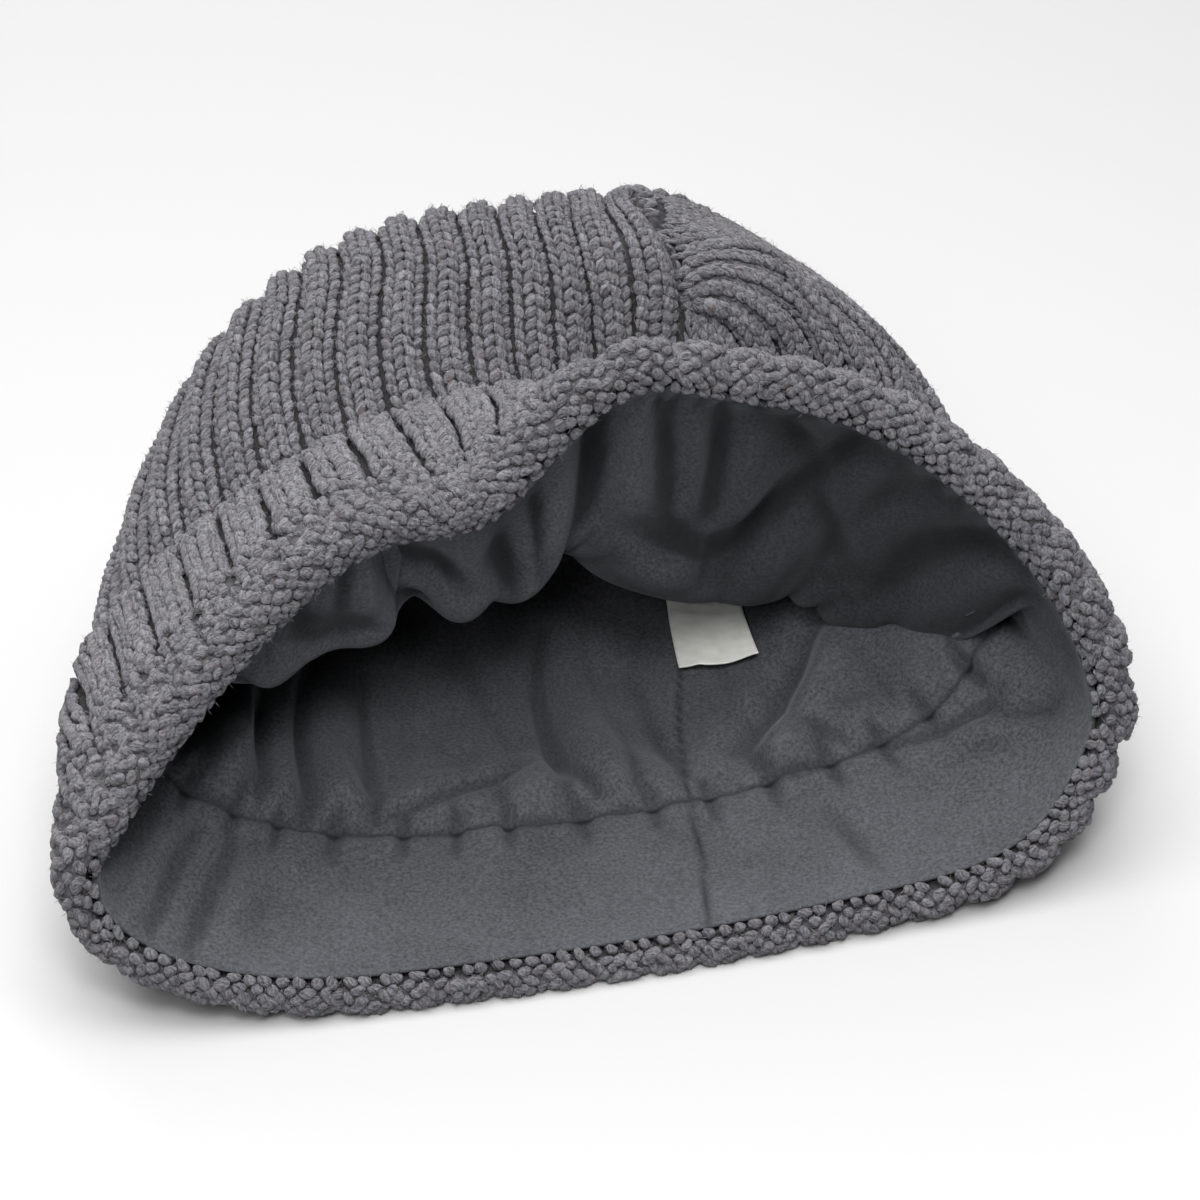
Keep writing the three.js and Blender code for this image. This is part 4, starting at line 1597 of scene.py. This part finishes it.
@dataclass
class Lining:
    """Fleece lining: a plain band at the rim and a gathered part sewn to it. Sizes are in mm."""

    knit: CapSurface
    wall: float = 1.2
    edge: float = 0.35
    clear_of_knit: float = 5.0
    columns: int = 420
    gather_height: float = 6.0
    gathers: int = 28

    # Pouches of slack lining that hang from the raised side of the rim
    HANGING = (
        Fold(0.745, 0.034, 22, 17, (0, 0, -24)),
        Fold(0.70, 0.03, 31, 20, (0, 0, -22)),
        Fold(0.645, 0.024, 38, 20, (0, 0, -18)),
        Fold(0.612, 0.02, 44, 20, (0, 0, -18)),
        Fold(0.572, 0.018, 58, 22, (0, 0, 8)),
        Fold(0.53, 0.03, 58, 14, (0, 0, 4)),
        Fold(0.545, 0.03, 38, 14, inwards=4),
        Fold(0.462, 0.022, 58, 16, (0, 0, 6)),
        Fold(0.405, 0.033, 43, 22, (0, -4, -18)),
        Fold(0.378, 0.024, 36, 18, (-3, -6, -9)),
        Fold(0.338, 0.024, 30, 18, (-5, 0, 0)),
        Fold(0.30, 0.03, 50, 20, (-4, 0, 0)),
        Fold(0.678, 0.011, 26, 8, inwards=5),
    )
    CREASES = (
        # band, lower left
        Crease((0.900, 3), (0.907, 40), 2.4, -2.8),
        Crease((0.893, 3), (0.899, 44), 3.2, 2.2),
        Crease((0.917, 2), (0.925, 40), 2.6, -2.8),
        Crease((0.929, 4), (0.936, 36), 3.2, 1.8),
        # band, lower right
        Crease((0.229, 47), (0.291, 37), 2.8, -2.6),
        Crease((0.240, 42), (0.291, 33), 3.4, 1.8),
        Crease((0.277, 36), (0.310, 18), 3.2, -3.0),
        Crease((0.262, 40), (0.296, 24), 3.4, 2.4),
        Crease((0.192, 34), (0.201, 8), 2.6, -1.6),
        # long folds up from the seam
        Crease((0.236, 98), (0.158, 54), 5.0, -5.5),
        Crease((0.256, 92), (0.178, 54), 6.5, 4.0),
        Crease((0.085, 130), (0.078, 52), 2.8, -4.2),
        Crease((0.899, 50), (0.905, 110), 3.0, -3.6),
        Crease((0.911, 50), (0.918, 110), 3.4, 2.8),
        Crease((0.952, 50), (0.956, 115), 3.0, -3.6),
        Crease((0.940, 50), (0.944, 110), 3.4, 2.8),
        Crease((0.986, 50), (0.988, 110), 3.2, -3.0),
        Crease((0.986, 52), (0.062, 68), 2.4, -1.8),
        Crease((0.990, 57), (0.064, 73), 3.4, 1.2),
        # hanging side, the pouch in the middle
        Crease((0.592, 2), (0.584, 44), 3.4, -5.0),
        Crease((0.610, 4), (0.603, 46), 4.6, 3.2),
        Crease((0.572, 6), (0.566, 46), 4.0, 4.0),
        Crease((0.563, 12), (0.550, 40), 3.6, -3.6),
        Crease((0.556, 43), (0.528, 46), 4.0, -4.4),
        Crease((0.562, 51), (0.524, 52), 3.6, 3.0),
        Crease((0.552, 10), (0.541, 34), 4.4, 3.6),
        Crease((0.536, 14), (0.531, 38), 3.4, -3.4),
        Crease((0.513, 34), (0.525, 50), 3.4, -2.6),
        Crease((0.521, 14), (0.518, 46), 5.0, 3.4),
        # hanging side, folds that meet in a knot
        Crease((0.483, 30), (0.520, 50), 4.0, -4.6),
        Crease((0.470, 36), (0.507, 56), 5.5, 3.6),
        Crease((0.502, 28), (0.524, 42), 4.6, 2.8),
        Crease((0.470, 4), (0.481, 27), 3.8, -3.0),
        Crease((0.512, 14), (0.487, 28), 3.8, -2.8),
        Crease((0.480, 32), (0.452, 44), 4.0, -3.0),
        Crease((0.462, 12), (0.467, 30), 4.6, 2.6),
        Crease((0.425, 28), (0.440, 48), 4.4, -3.8),
        Crease((0.434, 20), (0.452, 40), 4.4, 2.4),
        Crease((0.400, 10), (0.432, 34), 3.6, -3.4),
        Crease((0.385, 12), (0.415, 36), 3.6, 2.8),
        Crease((0.372, 16), (0.400, 40), 3.4, -3.2),
        # hanging side, from the middle to the left
        Crease((0.618, 22), (0.606, 44), 1.6, -1.8),
        Crease((0.686, 5), (0.668, 42), 3.6, -6.5),
        Crease((0.676, 14), (0.650, 30), 3.2, -3.4),
        Crease((0.655, 10), (0.640, 40), 5.0, 3.4),
        Crease((0.640, 24), (0.618, 40), 3.4, -3.0),
        Crease((0.712, 12), (0.690, 26), 3.0, -2.8),
        Crease((0.700, 8), (0.690, 34), 4.4, 3.0),
        Crease((0.735, 9), (0.702, 22), 2.8, -2.8),
        Crease((0.728, 24), (0.712, 36), 4.0, -3.6),
        Crease((0.775, 8), (0.752, 22), 3.4, -3.2),
    )

    def __post_init__(self) -> None:
        """Works out the hanging surface with all its folds, which stay clear of the knit."""
        eased = self.knit.moved(LINING_FOLDS, lambda depth: smooth_step((depth - 5) / 14))
        hung = eased.moved(self.HANGING, lambda depth: smooth_step((depth - 1) / 16))
        hung = hung.kept_over(self.knit, self.clear_of_knit)
        self.smooth = hung.raised(lambda depth, turn: 3.0 * smooth_step((depth - 44.0) / 18.0))
        self.room = 0.75 + 0.8 * np.linalg.norm(self.smooth.points - self.knit.points, axis=2)
        self.surface = self.smooth.raised(self.kept_height)

    def kept_height(self, depth: Array, turn: Array) -> Array:
        """Height of the whole grid's folds, with the deepest valleys kept off the knit, in mm."""
        softness = 0.8
        height = self.height(depth, turn)
        return np.logaddexp(0.0, (height + self.room) / softness) * softness - self.room

    def height(self, depth: Array, turn: Array) -> Array:
        """Height of gathers, puckers and creases towards the hollow.

        Args:
            depth: Distances from the rim in mm.
            turn: Places round the cap in turns.

        Returns:
            Heights in mm.
        """
        total = 0.5 * wander(depth, turn, 5, 26, 30.0) * ramp(depth, 6, 20)
        for crease in self.CREASES:
            total = total + crease.rise(depth, turn)
        # Gathers, highest next to the round seam and calm about the label and to its right
        past = depth - BAND_SEAM_DEPTH
        rise = ramp(past, 0.0, 9.0)
        fall = np.clip((175.0 - depth) / 110.0, 0, 1)
        wobble = 0.35 * wander(depth, turn, 9, 7, 120.0) + 0.22 * wander(depth, turn, 14, 19, 60.0)
        wave = np.abs(np.sin(np.pi * (self.gathers * turn + wobble)))
        wave = 0.6 * wave**2 + 0.4 * (1 - (1 - wave) ** 2.2)
        size = 0.75 + 0.45 * wander(depth * 0.2, turn, 21, 17, 200.0)
        near = bell(past, 30.0)
        broad = (1 - 0.7 * near) * 3.0 * wander(depth, turn, 41, 19, 90.0) * rise * fall
        label = np.exp(-(((turn - 0.181) / 0.04) ** 4) - ((depth - 115) / 24) ** 4)
        calm = bell(turn - 0.24, 0.09, 4) * ramp(past, 4, 10)
        slack = self.slack(turn)
        gather = self.gather_height * size * wave * rise * fall * (0.25 + 0.75 * near)
        total = total + (gather + broad) * (1 - 0.75 * np.maximum(label, calm)) * (1 - 0.8 * slack)
        # The round seam, the puckers at the rim and the long seam
        notch = self.notch(depth, turn)
        total = total + (0.9 - 3.8 * notch) * bell(past, 6.5) * (1 - slack)
        puckers = np.sin(2 * np.pi * (64 * turn + 0.6 * wander(depth * 0.0, turn, 17, 13, 60.0)))
        total = total + 0.9 * puckers * bell(depth - 8, 6) * slack
        total = total - 0.9 * bell(past, 1.1) * (1 - slack)
        return total - 0.8 * bell(self.from_seam(depth, turn), 1.1)

    def slack(self, turn: Array) -> Array:
        """How loosely the lining hangs round the cap, 1 in the middle of the raised side."""
        return bell(turn - 0.58, 0.2, 4)

    def painted_fold_shade(self, depth: Array, turn: Array) -> Array:
        """Painted shade in the folds: how deep in a fold a point lies, darker the deeper.

        Args:
            depth: Distances from the rim in mm.
            turn: Places round the cap in turns.

        Returns:
            Shares from 0 to 1.
        """
        here = self.height(depth, turn)
        round_it = 0.5 * (self.height(depth, turn + 0.007) + self.height(depth, turn - 0.007))
        along_it = 0.5 * (self.height(depth + 4.0, turn) + self.height(depth - 4.0, turn))
        return np.clip((np.maximum(round_it, along_it) - here) / 1.2, 0, 1)

    def notch(self, depth: Array, turn: Array) -> Array:
        """Strength of the small puckers that the round seam's stitches pull in, from 0 to 1."""
        place = 35 * turn + 0.25 * wander(depth * 0.0, turn, 3, 11, 60.0)
        return bell((place - np.round(place)) * ROUND_MM / 35, 1.5)

    def from_seam(self, depth: Array, turn: Array) -> Array:
        """Distance from the lining's long seam round the cap, in mm."""
        seam = np.interp(depth, [0, 50, 60, 133, 212], [0.13, 0.135, 0.138, 0.175, 0.2])
        return turns_from(turn, seam) * ROUND_MM

    def seam_and_painted_shade(self, depth: Array, turn: Array) -> Array:
        """How dark the cloth is from the seams' thread, plus painted shade in the round seam's puckers, in
        folds and over the hanging side.

        Args:
            depth: Distances from the rim in mm.
            turn: Places round the cap in turns.

        Returns:
            Shares from 0 to 1.
        """
        long_seam = bell(self.from_seam(depth, turn), 0.6) * 0.8
        past = depth - BAND_SEAM_DEPTH
        # Dark thread along the round seam, and painted shade in the puckers that its stitches pull in
        round_seam = bell(past, 0.7) * 0.6 + self.notch(depth, turn) * bell(past, 4.4) * 0.6
        round_seam = round_seam * (1 - 0.95 * self.slack(turn))
        # Painted shade over the hanging side, which hangs in shadow, not a change in the nap
        brushed = 0.62 * bell(turn - 0.45, 0.12, 4) * np.clip((64 - depth) / 12, 0, 1)
        # Painted shade deep in folds, strongest on the hanging side
        folded = 1 - (1 - (0.45 + 0.4 * self.slack(turn)) * self.painted_fold_shade(depth, turn)) * (1 - brushed)
        return np.maximum(np.maximum(long_seam, round_seam), folded)

    def behind(self, depth: float, turn: Array) -> Array:
        """How far the lining's back lies behind its smooth surface, deeper than any valley.

        Args:
            depth: Distance from the rim in mm.
            turn: Places round the cap in turns.

        Returns:
            Distances in mm.
        """
        room = self.room[round(depth), (turn * self.smooth.columns).astype(int) % self.smooth.columns]
        share = float(smooth_step((depth - 2.0) / 10.0))
        return self.wall + share * np.clip(np.minimum(room, 5.0) + 0.4 - self.wall, 0.0, None)

    def _shell(self, name: str, front: Array, back: Array, ends: bool) -> Object:
        """One closed layer of lining, with a thin edge at the last row of its front.

        Args:
            name: Name of the piece.
            front: Depths of the rows that face the hollow.
            back: Depths of the rows that face the knit.
            ends: Whether it closes at the crown point.

        Returns:
            The piece.
        """
        count = self.columns
        turn = np.arange(count) / count
        rings, shades = [], []
        for d, offset in [*((d, 0.0) for d in front), (front[-1], self.edge)]:
            rings.append(self.surface.at(np.full(count, d), turn, offset))
            shades.append(self.seam_and_painted_shade(np.full(count, d), turn))
        for d in back:
            rings.append(self.smooth.at(np.full(count, d), turn, self.behind(d, turn)))
            shades.append(np.zeros(count))
        tips = None
        if ends:
            pole = np.array([POLE_DEPTH])
            layers = ((self.surface, 0.0), (self.smooth, self.wall))
            tips = tuple(layer.at(pole, np.zeros(1), offset)[0] for layer, offset in layers)
            shades.append(np.zeros(2))
        piece = shell_from_rings(name, rings, tips)
        set_attribute(piece, "seam", "FLOAT", np.concatenate(shades))
        return piece

    def build_band(self) -> Object:
        """The plain band inside the rim.

        Returns:
            The piece.
        """
        front = np.concatenate([
            np.arange(-1.2, 46.0, 1.05), [46.0, 46.7, 47.4, 48.0, BAND_SEAM_DEPTH - 0.06, BAND_SEAM_DEPTH],
        ])
        back = np.array([46.0, 36.0, 26.0, 16.0, 8.0, 3.0, 0.0])
        return self._shell("lining_band_cloth", front, back, False)

    def build_crown(self) -> Object:
        """The gathered part of the lining.

        Returns:
            The piece.
        """
        front = np.concatenate([
            np.arange(207.0, 150.0, -3.5), np.arange(150.0, 60.0, -1.7),
            np.arange(60.0, BAND_SEAM_DEPTH, -0.8),
            [BAND_SEAM_DEPTH, BAND_SEAM_DEPTH - 0.06],
        ])
        back = np.concatenate([[52.0, 60.0], np.arange(72.0, 208.0, 12.0)])
        return self._shell("lining_crown_cloth", front, back, True)


@dataclass
class SewnLabel:
    """Small satin label, sewn to the lining by its left edge. Its face is bare. Sizes are in mm."""

    surface: CapSurface
    turn: float = 0.16
    turn_width: float = 0.043
    depth: float = 103.0
    width: float = 19.0
    length: float = 30.0
    clearance: float = 2.0
    thickness: float = 0.35
    rows: int = 40
    columns: int = 28

    def build(self) -> Object:
        """The label as a thin closed slab with soft creases.

        Returns:
            The piece.
        """
        u, v = np.meshgrid(np.linspace(0, 1, self.columns + 1), np.linspace(0, 1, self.rows + 1))
        depth = self.depth + self.length * v - 9.5 * u
        turn = self.turn + self.turn_width * u + 0.004 * v
        curl = 0.8 * u**2 + 0.35 * np.exp(-(((u - 0.25 - 0.3 * v) / 0.07) ** 2)) * (1 - v)
        curl = curl + 0.5 * np.sin(2 * np.pi * (1.3 * u + 0.25 * v)) * np.sqrt(u)
        dent = 0.3 * np.exp(-(((v - 0.86 + 0.12 * u) / 0.05) ** 2))
        over = self.clearance + curl - dent
        points = np.concatenate([
            self.surface.at(depth, turn, -over - side).reshape(-1, 3) for side in (0.0, self.thickness)
        ])
        wide, under = self.columns + 1, (self.rows + 1) * (self.columns + 1)
        faces = []
        for r in range(self.rows):
            for c in range(self.columns):
                a = r * wide + c
                quad = [a, a + 1, a + 1 + wide, a + wide]
                faces.append([under + i for i in quad[::-1]])
                faces.append(quad)
        edge = [(c, c + 1) for c in range(self.columns)]
        edge += [(r * wide + self.columns, (r + 1) * wide + self.columns) for r in range(self.rows)]
        last = self.rows * wide
        edge += [(last + c + 1, last + c) for c in range(self.columns)]
        edge += [((r + 1) * wide, r * wide) for r in range(self.rows)]
        faces += [[b, a, a + under, b + under] for a, b in edge]
        piece = new_mesh_object("care_label", points, outwards_faces(points, faces, np.array(faces)))
        layer = piece.data.uv_layers.new(name="ribbon")
        laid = np.stack([u.ravel() * self.width, v.ravel() * self.length], -1)
        laid = np.concatenate([laid, laid])
        corner = np.empty(len(piece.data.loops), np.int32)
        piece.data.loops.foreach_get("vertex_index", corner)
        layer.data.foreach_set("uv", laid[corner].astype(np.float32).ravel())
        return piece


# ------------------------------------------------------------------------ stage


@dataclass
class Studio:
    """Plain pale floor, soft light and the camera. Places and sizes are in metres."""

    floor_colour: str = "#c0c0c0"
    target: tuple[float, float, float] = (-0.0015, -0.0345, 0.0675)
    eye: tuple[float, float, float] = (-0.0015, -0.7129, 0.4914)
    lens: float = 117.6
    sky: float = 0.04
    # Name, place, size, power in watts
    LIGHTS = (
        ("Overhead", (-0.1, -0.1, 1.2), 1.5, 27.0),
        ("Back", (-0.3, 1.1, 0.9), 1.0, 8.0),
        ("Front", (0.05, -0.75, 0.95), 0.3, 5.5),
        ("Fill", (-0.2, -0.95, 0.75), 0.3, 3.5),
    )

    def build(self) -> None:
        """Makes the camera, the floor, the lights and the sky."""
        scene = bpy.context.scene
        camera = linked("Camera", bpy.data.cameras.new("Camera"))
        camera.data.lens = self.lens
        camera.data.sensor_width = 36.0
        camera.data.clip_start = 0.01
        self._aim(camera, self.eye)
        scene.camera = camera
        self._floor()
        for name, place, size, power in self.LIGHTS:
            data = bpy.data.lights.new(name, "AREA")
            data.size, data.energy = size, power
            self._aim(linked(name, data), place)
        world = bpy.data.worlds.new("Studio")
        world.use_nodes = True
        sky = world.node_tree.nodes["Background"]
        sky.inputs["Color"].default_value = (1, 1, 1, 1)
        sky.inputs["Strength"].default_value = self.sky
        scene.world = world
        scene.view_settings.view_transform = "Standard"

    def _floor(self) -> None:
        """A wide level floor."""
        far = 3000.0
        points = np.array([(-far, -far, 0), (far, -far, 0), (far, far, 0), (-far, far, 0)], float)
        floor = new_mesh_object("Floor", points, [[0, 1, 2, 3]], smooth=False)
        material = bpy.data.materials.new("Matt paper backdrop")
        material.use_nodes = True
        shader = material.node_tree.nodes["Principled BSDF"]
        shader.inputs["Base Color"].default_value = linear(self.floor_colour)
        shader.inputs["Roughness"].default_value = 0.9
        floor.data.materials.append(material)

    def _aim(self, thing: Object, place: tuple[float, float, float]) -> None:
        """Puts a light or the camera in its place, aimed at the cap."""
        thing.location = place
        thing.rotation_euler = (Vector(self.target) - Vector(place)).to_track_quat("-Z", "Y").to_euler()


# ------------------------------------------------------------------------- main


def above_floor(middles: Array) -> Array:
    """Which stitch legs aren't pressed flat under the cap."""
    return middles[:, 2] > PRESSED_FLAT


def dress(piece: Object, slot: Slot, material: Material | None = None, node: str = "") -> Object:
    """Gives a piece its material and body, and hides the CAD node it stands for.

    Args:
        piece: The piece.
        slot: Material slot of the record, not used.
        material: Material to give it, if it has none.
        node: CAD node that it replaces, if any.

    Returns:
        The piece.
    """
    if material:
        piece.data.materials.append(material)
    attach(piece, "root")
    if node:
        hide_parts(node)
    LOG.info("%s: %d triangles", piece.name, triangle_count(piece))
    return piece


def main() -> None:
    """Builds the cap piece by piece."""
    logging.basicConfig(level=logging.INFO, format="%(name)s %(message)s")
    Studio().build()
    wool = HeatheredWool("Heathered wool yarn").make()
    # A darker copy of the wool for the ground under the stitches: painted shade
    painted_shade_ground_wool = HeatheredWool(
        "Wool between the stitches", base="#4c4c50", light="#676669", dark="#2e2e31", sheen=0.1,
    ).make()
    fibre = HeatheredWool(
        "Loose wool fibres", base="#7b7a7e", light="#9f9da0", dark="#5c5b5f", sheen=0.4,
    ).make()
    fleece = BrushedFleece("Brushed cotton lining").make()
    satin = WovenSatin("Satin ribbon").make()
    yarn, fuzz = yarn_tree(), fuzz_tree()

    knit = CapSurface.of_sections().moved(CROWN_FOLDS)
    crown = KnitCrown(knit)
    crown_ground = dress(crown.build_ground(), Slot.WOOL, painted_shade_ground_wool, "knit_crown")
    plan = crown.plan()
    crown_front, crown_back = (
        dress(plan.grow(name, wool, yarn, keep), Slot.WOOL) for name, keep in (
            ("crown_stitches_upper", lambda middles: middles[:, 2] >= STITCH_SPLIT),
            ("crown_stitches_lower", lambda middles: middles[:, 2] < STITCH_SPLIT),
        )
    )

    cuff = KnitCuff(knit)
    cuff_ground = dress(cuff.build_ground(), Slot.WOOL, painted_shade_ground_wool, "knit_cuff")
    cuff_stitches, rim_stitches = (
        dress(cuff.plan(first, last).grow(name, wool, yarn, above_floor, Jitter=jitter), Slot.WOOL)
        for name, first, last, jitter in (
            ("cuff_stitches", 1.0, 36.0, 0.08), ("rim_stitches", 37.0, 57.0, 0.12),
        )
    )
    rim_beads = dress(
        cuff.bead_plan().grow("rim_purl_bumps", wool, yarn, Jitter=0.2, Taper=0.1, Bow=0.2), Slot.WOOL,
    )

    lining = Lining(knit)
    band = dress(lining.build_band(), Slot.FLEECE, fleece, "lining_band")
    lining_crown = dress(lining.build_crown(), Slot.FLEECE, fleece, "lining_crown")
    label = dress(SewnLabel(lining.smooth).build(), Slot.SATIN, satin, "sewn_label")

    rim_fuzz, crown_fuzz = (
        dress(fuzz_of(name, yarns, fuzz, fibre, Density=density, Seed=seed), Slot.WOOL)
        for name, yarns, density, seed in (
            ("rim_loose_fibres", [rim_stitches, rim_beads], 900000.0, 3),
            ("crown_loose_fibres", [crown_front, cuff_stitches], 260000.0, 5),
        )
    )
    for piece in (crown_front, crown_back, cuff_stitches, rim_stitches, rim_beads, rim_fuzz, crown_fuzz):
        clear_plan(piece)

    # Flat size and area in metres, how it is held, what it rests on, and what goes with it
    soft = (
        (crown_ground, (0.48, 0.204), 0.088, Held.LAID, [], [crown_front, crown_back, crown_fuzz]),
        (cuff_ground, (0.55, 0.06), None, Held.FOLDED, [crown_ground],
         [cuff_stitches, rim_stitches, rim_beads, rim_fuzz]),
        (band, (0.50, 0.050), None, Held.HUNG, [cuff_ground], []),
        (lining_crown, (0.48, 0.165), 0.056, Held.GATHERED, [band], [label]),
    )
    for piece, flat, area, held, rests_on, others in soft:
        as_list(rests_on)
        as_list(others)


if __name__ == "__main__":
    main()
